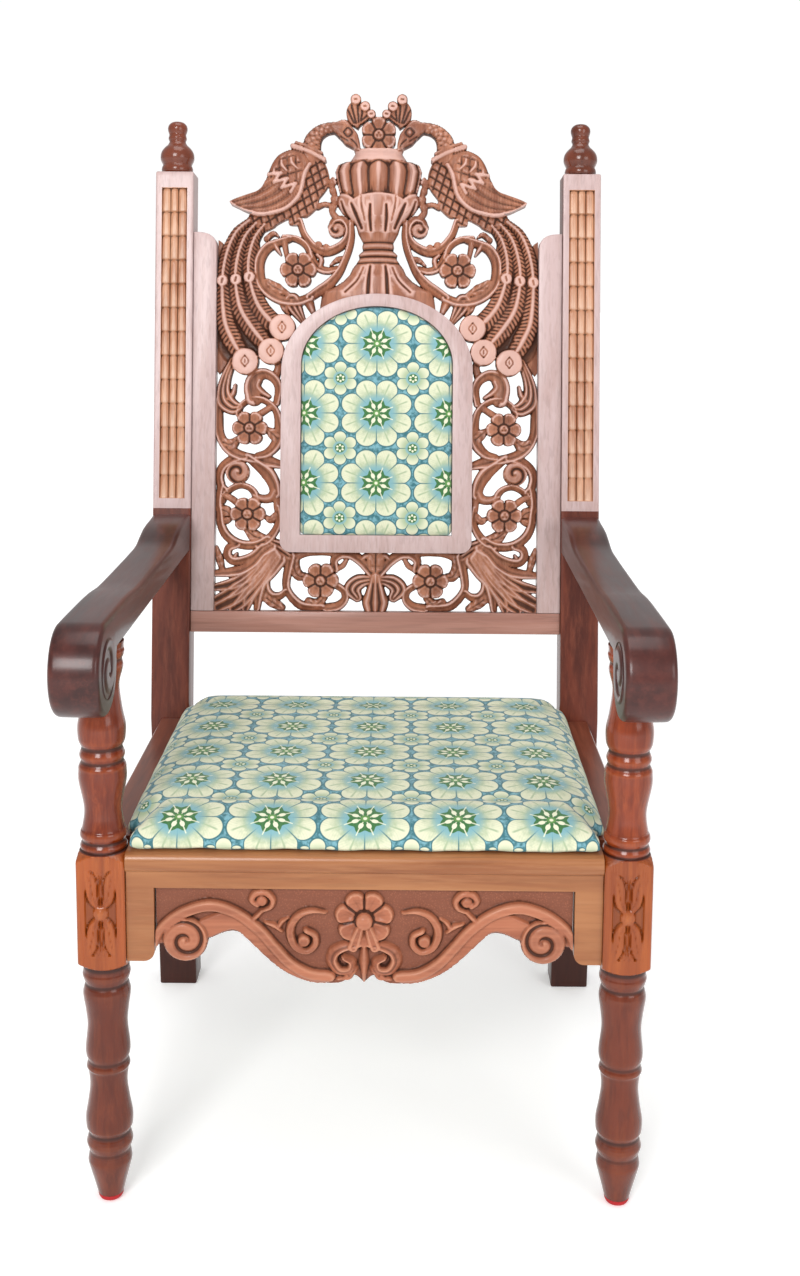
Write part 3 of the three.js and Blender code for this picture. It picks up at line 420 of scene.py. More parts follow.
def polygon_distance(U, V, points):
    """Signed distance to a closed outline, negative inside."""
    P = np.asarray(points, dtype=float)
    best = np.full(U.shape, 1e9)
    inside = np.zeros(U.shape, dtype=bool)
    for (ax, ay), (bx, by) in zip(P, np.roll(P, -1, axis=0)):
        ex, ey = bx - ax, by - ay
        t = np.clip(((U - ax) * ex + (V - ay) * ey) / max(ex * ex + ey * ey, 1e-9), 0, 1)
        best = np.minimum(best, (U - ax - t * ex) ** 2 + (V - ay - t * ey) ** 2)
        if ay != by:
            inside ^= ((ay > V) != (by > V)) & (U < (bx - ax) * (V - ay) / (by - ay) + ax)
    return np.where(inside, -1, 1) * np.sqrt(best)


def onto_outline(D, U, V, step):
    """Grid points near the outline moved onto it, along the gradient of their distance D."""
    gv, gu = np.gradient(D, step)
    size = np.maximum(np.hypot(gu, gv), 1e-6)
    near = np.abs(D) < EDGE_SHARE * step
    return np.where(near, U - gu / size * D, U), np.where(near, V - gv / size * D, V)


def corners(keep):
    """Numbers of each grid cell's four corners, counting kept points only; -1 for the others."""
    ids = np.full(keep.shape, -1)
    ids[keep] = np.arange(keep.sum())
    return ids[:-1, :-1], ids[:-1, 1:], ids[1:, 1:], ids[1:, :-1]


def rounded(depth, radius, fall):
    """How far the surface falls at this depth inside an edge, for a rounded edge."""
    e = np.clip(1 - depth / radius, 0, 1)
    return fall * (1 - np.sqrt(np.maximum(0, 1 - e ** 2)))


def spread(A, middle):
    """The field averaged with its neighbours both ways."""
    side = (1 - middle) / 2
    P = np.pad(A, 1, mode="edge")
    A = side * P[:-2, 1:-1] + middle * A + side * P[2:, 1:-1]
    P = np.pad(A, 1, mode="edge")
    return side * P[1:-1, :-2] + middle * A + side * P[1:-1, 2:]


class Relief:
    """A height field over a plane, built up from strokes, flowers, discs and plates."""

    def __init__(self, u0, u1, v0, v1, step, floor=0.0):
        self.u = np.arange(u0, u1 + step * 0.5, step)
        self.v = np.arange(v0, v1 + step * 0.5, step)
        self.step = step
        self.U, self.V = np.meshgrid(self.u, self.v)
        self.D = np.full(self.U.shape, 99.0)
        self.grow = 0.0  # added to the widths of strokes
        self.H = np.full(self.U.shape, floor)
        # T: painted light and shade, added to the tone
        self.T = np.zeros(self.U.shape)

    def window(self, points, pad):
        """Part of the grid round some points."""
        P = np.asarray(points)
        i0, i1 = np.searchsorted(self.u, [P[:, 0].min() - pad, P[:, 0].max() + pad])
        j0, j1 = np.searchsorted(self.v, [P[:, 1].min() - pad, P[:, 1].max() + pad])
        return np.s_[j0:j1, i0:i1]

    def put(self, sl, d, h, outline=True, tone=0.0):
        """Lay a shape of height h on what is there, where it is higher; d is negative inside it."""
        near = d < self.step * 0.9
        before = self.H[sl]
        above = h >= before
        inner = self.D[sl] < -0.6 * self.step  # already carved: the new edge blends in
        cover = np.clip(0.5 - d / self.step, 0, 1)
        self.T[sl] = np.where(inner & above, self.T[sl] + (tone - self.T[sl]) * cover,
                              np.where(near & above, tone, self.T[sl]))
        self.H[sl] = np.where(inner & above, before + (h - before) * cover, np.where(near & above, h, before))
        if outline:
            self.D[sl] = np.minimum(self.D[sl], d)

    def along(self, points, widths, per=8):
        """Distance field of a tapering curve: window, signed distance, share across, length along."""
        P, share = spline(points, per)
        W = np.interp(share, np.linspace(0, 1, len(widths)), np.asarray(widths, dtype=float)) / 2
        sl = self.window(P, max(widths) / 2 + 3)
        U, V = self.U[sl], self.V[sl]
        best = np.full(U.shape, 1e9)
        across = np.zeros(U.shape)
        length = np.zeros(U.shape)
        run = 0.0
        for i in range(len(P) - 1):
            (ax, ay), (bx, by) = P[i], P[i + 1]
            ex, ey = bx - ax, by - ay
            seg = math.hypot(ex, ey)
            if seg < 1e-6:
                continue
            t = np.clip(((U - ax) * ex + (V - ay) * ey) / seg ** 2, 0, 1)
            px, py = U - ax - t * ex, V - ay - t * ey
            dist = np.sqrt(px ** 2 + py ** 2)
            w = W[i] + (W[i + 1] - W[i]) * t
            d = dist - w
            take = d < best
            best = np.where(take, d, best)
            across = np.where(take, np.sign(px * -ey + py * ex) * dist / np.maximum(w, 0.5), across)
            length = np.where(take, run + t * seg, length)
            run += seg
        return sl, best, across, length / max(run, 1e-6), run

    def stroke(self, points, widths, style="hollow", top=17.0, fall=5.0, per=8, outline=True, flip=1,
               shine=0.0):
        """A tapering stroke along a curve, its surface carved in one of several styles."""
        sl, d, q, t, run = self.along(points, [w + self.grow for w in widths], per)
        q = q * flip
        s = np.abs(q)
        half = max(widths) / 2
        h = top - rounded(-d, min(half, 4.0), fall)
        # Tone per style: painted highlights on rims, shafts and ridges, painted shade in hollows, veins,
        # grooves and hatching; shine adds a painted highlight, or painted shade below 0.
        tone = np.zeros(q.shape)
        if style == "hollow":  # raised rims, sunk middle
            dip = np.exp(-(s / 0.52) ** 4)
            h = h - 3.0 * dip * np.clip((half - 2) / 4, 0, 1)
            tone = 0.26 * np.exp(-((s - 0.72) / 0.16) ** 2) - 0.3 * dip
        elif style == "side":  # a rim on one side, a slope to the other
            rim = np.exp(-((q + 0.62) / 0.22) ** 2)
            h = h - 5.0 * np.clip(0.45 + 0.62 * q, 0, 1) ** 1.2 + 1.6 * rim
            tone = 0.32 * rim - 0.28 * np.exp(-((q + 0.05) / 0.25) ** 2)
        elif style == "ridge":
            h = h - 3.8 * s ** 1.3
            tone = 0.16 - 0.3 * s
        elif style == "leaf":  # sunk vein, side veins
            vein = np.exp(-(q / 0.16) ** 2)
            ribs = (0.5 + 0.5 * np.sin(t * run / 1.6 + s * 4.2)) * (s > 0.2)
            h = h - 2.0 * vein - 1.8 * s ** 2 - 1.2 * ribs
            tone = 0.14 - 0.5 * vein - 0.28 * ribs
        elif style == "flute":  # grooves running along
            groove = 0.5 - 0.5 * np.cos(q * math.pi * 3)
            h = h - 2.4 * groove - 1.2 * s ** 2
            tone = 0.24 - 0.6 * groove
        elif style == "barb":  # a feather of the wing, hatched across
            ribs = 0.5 + 0.5 * np.sin(t * run * 1.5 + q * 3.5)
            h = h - 1.1 * ribs - 2.2 * s ** 3
            tone = 0.12 - 0.26 * ribs - 0.45 * s ** 4
        elif style == "feather":
            shaft = np.exp(-(q / 0.15) ** 2)
            ribs = (0.5 + 0.5 * np.sin(t * run * 1.05 - s * 7.0)) * np.clip((s - 0.2) / 0.12, 0, 1)
            h = h - 2.8 * s ** 1.6 + 2.4 * shaft - 2.2 * ribs
            tone = 0.45 * shaft + 0.16 - 0.6 * ribs - 0.35 * s ** 4
        elif style == "scaly":
            h = h - 2.6 * s ** 1.4
            a, b = t * run / 9 + q * 0.9, t * run / 9 - q * 0.9
            near = np.minimum(np.abs(a - np.round(a)), np.abs(b - np.round(b)))
            line = np.clip(1 - near / 0.14, 0, 1)
            h = h - 1.8 * line
            tone = 0.16 - 0.5 * line - 0.2 * s ** 2
        self.put(sl, d, h, outline, tone + shine)

    def groove(self, points, width=2.6, depth=1.8, dark=0.6):
        """A cut line, darkened inside by dark as painted shade."""
        sl, d = self.along(points, [width, width])[:2]
        share = np.clip(-d / (width / 2), 0, 1) ** 0.8
        self.H[sl] -= depth * share
        self.T[sl] -= dark * np.clip(share * 1.5, 0, 1)

    def slot(self, points, widths, depth=3.4, rim=1.5):
        """A sunk channel with painted highlights along its edges and painted shade inside."""
        sl, d = self.along(points, widths)[:2]
        inside = np.clip(-d / 1.5, 0, 1)
        self.H[sl] -= depth * inside
        self.T[sl] += 0.42 * np.exp(-((d - rim) / 1.0) ** 2) - 0.6 * inside

    def disc(self, at, radius, top, fall=2.5, edge=2.5, shine=0.0):
        """A round disc with an eased edge; shine paints a highlight on it, and bright ones get a painted
        shadow round their rim.
        """
        sl = self.window([at], radius + 3)
        r = np.hypot(self.U[sl] - at[0], self.V[sl] - at[1])
        tone = shine * (r < radius - 0.8) - (0.35 * (r > radius - 1.5) if shine > 0.4 else 0)
        self.put(sl, r - radius, top - rounded(radius - r, edge, fall), tone=tone)

    def spiral(self, at, radius, top, turns=1.6, start=0.0, hand=1):
        """A knob with a spiral groove running out to its edge."""
        sl = self.window([at], radius + 3)
        x, y = self.U[sl] - at[0], self.V[sl] - at[1]
        r = np.hypot(x, y)
        share = (r / radius * turns - hand * np.arctan2(y, x) / (2 * math.pi) - start) % 1.0
        h = (top + 2.0 - rounded(radius - r, 4.0, 5.0)
             - 4.2 * np.exp(-((share - 0.5) / 0.17) ** 2) * (r < radius * 0.93))
        h = h + 1.6 * np.exp(-(r / (radius * 0.28)) ** 2)
        # painted shade in the spiral groove, a faint painted highlight elsewhere
        dark = np.exp(-((share - 0.5) / 0.15) ** 2) * (r < radius * 0.93) * (r > radius * 0.2)
        self.put(sl, r - radius, h, tone=0.14 - 0.6 * dark)

    def flower(self, at, radius, top, petals=6, turn=0.5):
        """A flower with creased petals round a boss."""
        sl = self.window([at], radius + 3)
        x, y = self.U[sl] - at[0], self.V[sl] - at[1]
        r = np.hypot(x, y)
        angle = np.arctan2(y, x)
        share = (angle * petals / (2 * math.pi) + turn) % 1.0 - 0.5
        lobe = np.cos(share * math.pi) ** 0.5
        reach = radius * (0.74 + 0.26 * lobe)
        d = r - reach
        s = r / radius
        crease = np.exp(-((np.abs(share) - 0.5) * r * 2 * math.pi / petals / 1.5) ** 2) * (s > 0.28)
        h = (top - 1.0 - rounded(-d, 3.2, 4.0)
             - 3.6 * np.exp(-((s - 0.50) / 0.24) ** 2) * np.cos(share * math.pi) ** 2)
        h = (h - 3.6 * crease
             - 0.7 * (0.5 + 0.5 * np.cos(share * math.pi * 10)) * np.clip((s - 0.4) / 0.15, 0, 1))
        boss = np.clip(1 - (s / 0.3) ** 2, 0, 1)
        ring = np.exp(-((s - 0.31) / 0.045) ** 2)
        mark = (np.cos(3 * (angle - math.pi / 2)) > 0.35) & (s < 0.16)
        h = np.where(s < 0.3, top - 4.0 + 6.0 * np.sqrt(boss), h) - 2.4 * ring - 1.4 * mark
        # painted highlight near the petal edges, painted shade in the creases, round the boss and in its mark
        tone = (0.22 * np.exp(-((d + 2.2) / 1.4) ** 2) - 0.6 * crease - 0.6 * ring - 0.5 * mark
                + 0.12 * (s < 0.26))
        self.put(sl, d, h, tone=tone)

    def plate(self, points, top, edge=4.0, fall=3.5, per=4, texture=None, outline=True, shine=0.0):
        """A flat shape with a rounded edge, its surface cut by texture."""
        loop = list(points) + [points[0]]
        P, _ = spline(loop, per)
        sl = self.window(P, 4)
        U, V = self.U[sl], self.V[sl]
        d = polygon_distance(U, V, P[:-1])
        h = top - rounded(-d, edge, fall)
        # shine is a painted highlight, or painted shade below 0; deeper cuts of the texture are painted
        # darker as shade
        tone = np.full(U.shape, shine)
        if texture is not None:
            taken = texture(U, V) * np.clip(-d / 2.5, 0, 1)
            h = h - taken
            tone = tone + 0.2 - 0.2 * taken
        self.put(sl, d, h, outline, tone)

    def cut(self, d):
        """Cut away where d is negative."""
        self.D = np.maximum(self.D, -d)

    def mesh(self, place, ground=None):
        """Points, faces and attributes of the closed carving and its mirror image; place gives metres.

        ground is the height of the flat board that the carving stands on, if it has one.
        """
        D, H = self.D, self.H
        H = np.where(D < -self.step, spread(H, 0.5), H)
        count = (D < 0.6 * self.step).astype(float)
        total = H * count
        for _ in range(max(2, round(3.0 / self.step))):
            total = spread(total, 1 / 3)
            count = spread(count, 1 / 3)
        mean = total / np.maximum(count, 1e-3)
        # Tone: painted highlight where the surface stands above its neighbourhood, painted shade where it
        # lies below, plus the painted marks in T.
        tone = np.clip(0.5 + (H - mean) / 3.4 + spread(self.T, 0.7), 0, 1)
        U, V = onto_outline(D, self.U, self.V, self.step)
        U = np.where(self.U == 0, 0, U)
        keep = D < EDGE_SHARE * self.step
        a, b, c, d = corners(keep)
        ka, kb, kc, kd = a >= 0, b >= 0, c >= 0, d >= 0
        tris = [
            np.stack([a, b, c], -1)[ka & kb & kc],
            np.stack([a, c, d], -1)[ka & kc & kd],
            np.stack([a, b, d], -1)[ka & kb & kd & ~kc],
            np.stack([b, c, d], -1)[kb & kc & kd & ~ka],
        ]
        F = np.vstack(tris)
        u, v, h, t, dd = U[keep], V[keep], H[keep], tone[keep], D[keep]
        middle = np.abs(self.U[keep]) < 1e-6
        n = len(u)
        other = np.arange(n) + n
        other[middle] = np.arange(n)[middle]
        F = np.vstack([F, other[F[:, ::-1]]])
        u, v, h, t, dd = (np.concatenate(pair) for pair in ((u, -u), (v, v), (h, h), (t, t), (dd, dd)))
        used = np.unique(F)
        new = np.full(len(u), -1)
        new[used] = np.arange(len(used))
        F = new[F]
        u, v, h, t, dd = u[used], v[used], h[used], t[used], dd[used]
        n = len(u)
        edges = np.vstack([F[:, [0, 1]], F[:, [1, 2]], F[:, [2, 0]]])
        codes = edges[:, 0] * n + edges[:, 1]
        twins = edges[:, 1] * n + edges[:, 0]
        rim = edges[~np.isin(codes, twins)]
        walls = np.vstack([
            np.stack([rim[:, 1], rim[:, 0], rim[:, 0] + n], -1),
            np.stack([rim[:, 1], rim[:, 0] + n, rim[:, 1] + n], -1),
        ])
        F = np.vstack([F, walls, F[:, ::-1] + n])
        base = 1.5 * np.clip(1 - (-dd) / 2.0, 0, 1)
        points = np.vstack([place(u, v, h), place(u, v, base)])
        tone_all = np.concatenate([t, np.full(n, 0.42)])
        level = np.abs(h - ground) < 0.35 if ground else np.zeros(n)
        flat = np.concatenate([level * (np.abs(t - 0.5) < 0.3), np.zeros(n)])
        return points, F, {"relief": tone_all, "ground": flat.astype(float)}


def thin(obj, limit):
    """Bring a dense carving under a number of triangles, flat parts first."""
    count = len(obj.data.polygons)
    if count <= limit:
        return
    modifier = obj.modifiers.new("thin", "DECIMATE")
    modifier.ratio = limit / count
    depsgraph = bpy.context.evaluated_depsgraph_get()
    mesh = bpy.data.meshes.new_from_object(obj.evaluated_get(depsgraph), preserve_all_data_layers=True,
                                           depsgraph=depsgraph)
    obj.modifiers.clear()
    obj.data = mesh


# Carved back
CARVED_W = -33.0
STEP = 1.25
BACK_TRIANGLES = 196000


def diamonds(size, depth, angle=0.0):
    """Rows of pointed scales, each tilted a little, as a depth to take off."""
    c, s = math.cos(math.radians(angle)), math.sin(math.radians(angle))

    def depth_at(U, V):
        x, y = (U * c + V * s) / size, (V * c - U * s) / (size * 1.3)
        a, b = x + y, x - y
        fa, fb = a - np.floor(a), b - np.floor(b)
        near = np.minimum(np.minimum(fa, 1 - fa), np.minimum(fb, 1 - fb))
        return depth * np.clip(1 - near / 0.17, 0, 1) + depth * 0.5 * (fa + 1 - fb) / 2
    return depth_at


def carve_back():
    """The openwork panel: birds, tails, vase, scrolls and flowers, right half, then mirrored."""
    g = Relief(0, 232, 153, 900, STEP)
    st = g.stroke
    # Tail: a thin outer web, then the three feathers and their discs
    g.plate([(236, 692), (222, 679), (229, 650), (231, 600), (226, 558), (212, 518), (236, 505)], 9, 2, 2, 3)
    g.plate([(232, 660), (236, 560), (222, 516), (196, 510), (156, 530), (142, 566), (158, 590), (178, 630),
             (190, 662)],
            11, 2, 2, 3, shine=-0.3)
    tail = [10, 15, 18, 19, 27, 29, 22]
    st([(186, 716), (205, 698), (218, 668), (224, 628), (221, 575), (210, 545), (193, 516)], tail, "feather",
       21, 6)
    st([(176, 712), (192, 692), (202, 663), (205, 630), (198, 590), (180, 560), (156, 531)], tail, "feather",
       21.5, 6)
    st([(164, 710), (178, 690), (186, 661), (185, 633), (173, 595), (153, 570), (139, 563)], tail, "feather",
       22, 6)
    for at in ((224, 628), (204.5, 630), (185, 633.5)):
        g.disc(at, 8.6, 24, 1.5, 1.5, 0.5)
        g.groove([(at[0] - 0.8, at[1] + 3), (at[0] + 0.8, at[1] - 3)], 3.4, 1.2, 0.8)
    for at in ((190, 512), (153, 527), (137, 561)):
        g.disc(at, 19.2, 25.5, 2.0, 2.0, 0.6)
        x, y = at
        for side in (-1, 1):
            g.groove([(x, y - 8), (x + side * 5.5, y), (x, y + 8)], 2.2, 1.4, 0.9)
        g.groove([(x, y - 3), (x, y + 3)], 2.6, 1.4, 0.8)
    # Body, wing and neck
    body = [(80, 804), (74.6, 793), (71.3, 780), (73.5, 766), (79, 757), (86, 748), (87, 740), (92, 732),
            (104, 722), (113, 722), (115, 711), (129, 711), (130, 719), (146, 711), (152, 706), (170, 700),
            (186, 716), (184, 724), (150, 740), (122, 812)]
    g.plate(body, 21, 9, 6, 3, diamonds(14, 3.2, 20))
    wing = [(106, 812), (122, 818), (133, 816), (144, 810), (152, 800), (157, 789), (162, 775), (167, 764),
            (175, 757), (189, 752), (214, 742), (202, 734), (186, 727), (168, 725), (150, 727), (135, 732),
            (122, 742), (113, 755), (109, 771), (106, 784), (99, 797)]
    g.plate(wing, 23.5, 5, 4, 3, shine=-0.1)
    for points, widths in (
        ([(150, 776), (166, 766), (180, 755), (197, 748), (213, 742)], [8, 10, 9, 7, 3]),
        ([(136, 774), (150, 761), (168, 750), (188, 743), (206, 739)], [9, 11, 11, 9, 4]),
        ([(124, 771), (136, 755), (153, 744), (174, 737), (196, 735)], [9, 11, 11, 9, 4]),
        ([(116, 764), (126, 748), (141, 738), (160, 731), (182, 730)], [8, 10, 10, 8, 4]),
    ):
        st(points, widths, "barb", 26.5, 3, outline=False)
    g.plate([(118, 813), (135, 811), (147, 802), (156, 784), (163, 768), (150, 766), (128, 762), (114, 775),
             (108, 793)],
            26.5, 7, 4, 3, diamonds(15, 2.8, 35))
    for a, b in (((126, 806), (117, 790)), ((140, 802), (131, 786)), ((150, 789), (144, 776))):
        st([a, ((a[0] + b[0]) / 2 + 3, (a[1] + b[1]) / 2), b], [3, 9, 3], "ridge", 29, 3, outline=False,
           shine=0.1)
    st([(214, 742), (202, 733), (186, 727), (168, 724), (150, 727), (135, 732), (122, 742), (113, 755),
        (109, 771), (106, 784), (99, 797)], [3, 5, 6, 6, 6, 6, 6, 6, 6, 6, 5], "round", 27, 2.5,
       outline=False, shine=0.42)
    zigzag = [(158, 781), (141, 783), (150, 770), (131, 775), (139, 762), (119, 768), (126, 756)]
    for a, b in zip(zigzag, zigzag[1:]):
        st([a, b], [4.6, 4.6], "round", 29, 2, outline=False, shine=0.4)
    st([(97, 812), (96, 830), (89, 842), (78, 849), (66, 851), (56, 850)], [27, 25, 20, 17, 15, 16], "scaly",
       23, 6)
    st([(124, 823), (100, 815), (79, 804)], [7, 7, 7], "round", 25.5, 3, shine=0.2)
    st([(119, 828), (98, 821), (82, 813)], [4, 5, 4], "round", 24, 3)
    st([(64, 852), (50, 846), (41, 836), (33, 826), (29, 820)], [14, 24, 23, 12, 4], "round", 24, 7)
    st([(60, 858), (50, 859), (42, 853)], [4, 8, 5], "ridge", 23, 4)
    g.groove([(51, 843), (44.5, 849.5), (38, 843), (44.5, 836.5), (51, 843)], 2.6, 2.0)
    g.disc((44.5, 843), 3.4, 25.5, 2, 2, 0.1)
    g.groove([(40, 833), (34, 828), (30, 821)], 2.4, 1.6)
    g.groove([(56, 838), (50, 834), (44, 830)], 2.4, 1.4)
    # Crown of the bird
    crown = [(30, 850), (42, 858), (47, 869), (46, 879), (40, 887), (31, 885), (22, 878), (12, 868),
             (20, 860), (27, 855)]
    g.plate(crown, 20, 3, 3, 3)
    for a, b in (((33, 857), (40, 883)), ((36, 857), (45, 876)), ((29, 858), (31, 882)),
                 ((26, 860), (24, 876)), ((24, 862), (16, 869))):
        g.groove([a, b], 3.0, 2.6, 0.7)
    for x, y, r in ((33.5, 891, 7.6), (20, 881, 7.3), (11, 870, 6.4)):
        g.disc((x, y), r, 23, 1.8, 1.8, 0.5)
        g.groove([(x - 1.6, y + 0.6), (x + 1.8, y)], 3.0, 1.2, 0.9)
    g.flower((0, 840), 26.5, 24, 6, 0.0)
    # Scroll under the bird, the stem beside the vase and the ring with its flower
    st([(66, 777), (68, 768), (64, 757), (64, 742), (67, 731), (60, 721), (52, 718)], [6, 9, 8, 9, 9, 9, 8],
       "round", 17)
    for x, y in ((67, 772), (66, 760), (64, 748), (66, 736)):
        g.disc((x, y), 5.2, 18.5, 3, 4)
    st([(88, 737), (78, 741), (68, 739)], [8, 7, 7], "round", 16)
    st([(114, 716), (108, 699), (101, 688), (92, 678), (79, 672), (64, 675), (50, 684), (43, 697), (44, 711),
        (53, 720), (64, 718), (70, 708)], [10, 10, 11, 12, 13, 13, 12, 11, 10, 10, 9, 7], "side", 18)
    g.spiral((60, 704), 12, 17, 0.9)
    g.disc((86, 681), 5.5, 20, 4, 5)
    g.disc((75, 677), 5.5, 20, 4, 5)
    st([(39, 716), (38, 697), (41, 679), (48, 659), (57, 641), (70, 626), (84, 616), (98, 606)],
       [7, 9, 10, 10, 12, 14, 14, 13], "side", 18, flip=-1)
    st([(47, 664), (58, 661), (69, 653)], [4, 9, 3], "leaf", 16)
    st([(60, 648), (72, 645), (84, 648), (92, 657), (97, 668)], [9, 11, 12, 11, 9], "side", 17)
    st([(84, 650), (82, 661), (88, 668)], [8, 8, 5], "ridge", 17)
    st([(128, 690), (145, 684), (160, 677), (170, 662), (172, 645), (168, 625), (156, 611), (138, 602),
        (116, 600), (98, 606)], [9, 12, 14, 15, 15, 15, 15, 15, 14, 13], "side", 18.5, flip=-1)
    st([(150, 684), (146, 676), (141, 668)], [11, 8, 4], "ridge", 18)
    st([(136, 690), (134, 676), (131, 662)], [9, 8, 7], "round", 17)
    st([(136, 692), (118, 690), (104, 680), (98, 664)], [9, 9, 9, 9], "side", 18)
    st([(172, 655), (176, 674), (180, 692)], [12, 11, 15], "leaf", 16)
    st([(162, 690), (152, 698), (144, 694)], [8, 8, 3], "leaf", 17)
    st([(160, 628), (146, 618), (128, 610)], [10, 17, 6], "leaf", 18)
    g.flower((115, 645), 26.5, 23)
    st([(124, 600), (118, 588), (107, 570)], [26, 20, 9], "flute", 17)
    st([(100, 600), (94, 586)], [15, 9], "ridge", 16)
    st([(140, 603), (134, 590), (128, 578)], [10, 11, 4], "leaf", 16)
    # Side panel
    g.grow = 2.4
    st([(208, 514), (218, 490), (222, 470), (219, 455), (208, 446), (198, 447)], [8, 13, 18, 26, 20, 8],
       "flute", 19)
    st([(205, 478), (208, 466), (215, 458)], [3, 6, 6], "ridge", 18)
    st([(228, 458), (228, 430), (227, 408), (219, 392), (207, 381), (192, 375), (172, 371), (158, 368),
        (137, 363)],
       [7, 9, 10, 12, 13, 12, 11, 17, 9], "side", 18, flip=-1)
    st([(200, 436), (196, 448), (185, 456), (170, 458), (156, 452), (146, 441), (142, 426), (141, 408),
        (146, 392), (158, 380), (172, 376)], [6, 6, 7, 7, 7, 8, 10, 14, 14, 11, 8], "side", 18)
    st([(174, 433), (162, 441), (151, 448)], [8, 7, 6], "round", 17)
    st([(222, 396), (210, 392), (200, 401)], [10, 15, 6], "leaf", 18)
    st([(142, 400), (150, 408), (159, 415)], [14, 13, 5], "leaf", 18)
    g.flower((183, 416), 25.5, 23)
    st([(178, 460), (181, 476), (176, 489), (163, 495), (149, 488), (142, 474), (145, 453)],
       [22, 20, 18, 13, 11, 10, 8], "side", 19.5)
    st([(170, 486), (173, 477), (167, 469), (156, 462)], [7, 8, 8, 4], "ridge", 18)
    st([(146, 520), (143, 506), (146, 492)], [8, 8, 9], "round", 16)
    st([(190, 375), (208, 371), (222, 360), (227, 346), (224, 332), (218, 326)], [9, 11, 11, 11, 10, 8],
       "side", 18)
    g.spiral((200, 352), 17, 18, 1.2, 0.3, -1)
    st([(186, 374), (170, 362), (157, 351), (148, 336), (145, 322)], [9, 13, 18, 16, 14], "side", 19)
    st([(146, 326), (152, 316), (164, 314), (176, 319)], [12, 12, 10, 6], "ridge", 18)
    st([(144, 326), (143, 312), (143, 300)], [12, 9, 7], "round", 16)
    st([(222, 310), (218, 320), (208, 329), (196, 333), (184, 330), (176, 322), (173, 312)],
       [7, 7, 7, 7, 7, 8, 8], "side", 17)
    st([(143, 302), (141, 288), (142, 276), (149, 263), (158, 254), (170, 248)], [7, 8, 9, 10, 11, 10],
       "side", 17)
    st([(224, 336), (228, 312), (226, 292), (224, 276), (217, 262), (205, 252), (190, 247), (172, 248),
        (156, 256)],
       [8, 9, 9, 10, 11, 11, 11, 11, 10], "side", 18)
    st([(217, 318), (209, 314), (201, 308)], [6, 7, 7], "round", 17)
    st([(227, 300), (217, 296), (209, 290)], [10, 13, 5], "leaf", 17)
    st([(226, 283), (217, 282), (209, 286)], [8, 9, 4], "leaf", 17)
    st([(186, 269), (175, 260), (160, 256)], [7, 16, 9], "leaf", 18)
    st([(145, 290), (152, 284), (160, 288)], [8, 9, 3], "leaf", 17)
    g.flower((185, 292), 25.5, 23)
    # Corner leaf
    st([(200, 248), (212, 243), (214, 232), (206, 224), (192, 225), (176, 232), (163, 245)],
       [9, 10, 10, 10, 11, 11, 9], "side", 18)
    st([(206, 226), (201, 234)], [8, 3], "ridge", 17)
    st([(231, 243), (226, 227), (222, 211)], [4, 9, 6], "leaf", 15)
    st([(150, 245), (163, 237), (176, 222), (192, 212), (208, 208), (230, 206)], [14, 13, 13, 13, 12, 8],
       "side", 19)
    for points, widths in (
        ([(148, 238), (176, 208), (204, 192), (230, 186)], [12, 16, 16, 9]),
        ([(146, 236), (174, 204), (200, 184), (230, 168)], [12, 16, 17, 10]),
        ([(146, 234), (172, 200), (200, 172), (227, 157)], [12, 17, 18, 13]),
        ([(144, 232), (168, 196), (190, 168), (205, 155)], [12, 17, 17, 10]),
        ([(142, 230), (162, 200), (180, 174), (187, 155)], [12, 15, 14, 8]),
    ):
        st(points, widths, "hollow", 20, 5)
    st([(136, 226), (150, 208), (162, 195), (168, 179), (171, 156)], [13, 13, 13, 12, 8], "side", 19)
    st([(158, 200), (158, 184), (150, 174), (138, 174), (129, 181)], [9, 11, 11, 9, 7], "side", 18)
    st([(158, 172), (148, 165), (135, 157)], [12, 14, 8], "leaf", 17)
    st([(124, 234), (138, 244), (154, 252)], [16, 18, 11], "flute", 17)
    # Bottom: ring, flower and the lily in the middle
    st([(122, 232), (126, 214), (129, 196), (128, 184), (120, 171), (108, 161), (94, 158), (78, 158)],
       [12, 11, 10, 9, 10, 11, 11, 10], "side", 18)
    st([(121, 224), (112, 232), (98, 236), (78, 237), (60, 236)], [10, 10, 7, 6, 6], "round", 16)
    st([(115, 230), (117, 214), (110, 203), (103, 204)], [8, 14, 12, 6], "leaf", 18)
    g.flower((79, 197), 26, 23)
    st([(58, 212), (60, 226), (50, 235), (36, 235), (22, 226), (10, 213), (0, 201)],
       [7, 10, 12, 13, 12, 11, 10], "side", 18, flip=-1)
    st([(54, 214), (47, 219), (42, 227)], [5, 6, 4], "round", 17)
    st([(57, 190), (46, 182), (44, 170), (54, 160), (70, 157)], [8, 8, 9, 11, 11], "side", 18)
    st([(97, 167), (85, 163), (74, 172)], [8, 13, 8], "leaf", 18)
    st([(0, 240), (0, 224), (0, 206)], [18, 26, 10], "leaf", 19)
    st([(0, 238), (14, 232), (20, 228)], [6, 8, 3], "ridge", 17)
    st([(6, 199), (24, 195), (33, 185), (26, 173)], [10, 20, 24, 12], "flute", 20)
    st([(0, 202), (0, 180), (0, 166), (0, 155)], [12, 26, 36, 28], "flute", 22)
    g.disc((0, 201), 8, 21, 3, 4)
    g.grow = 0.0
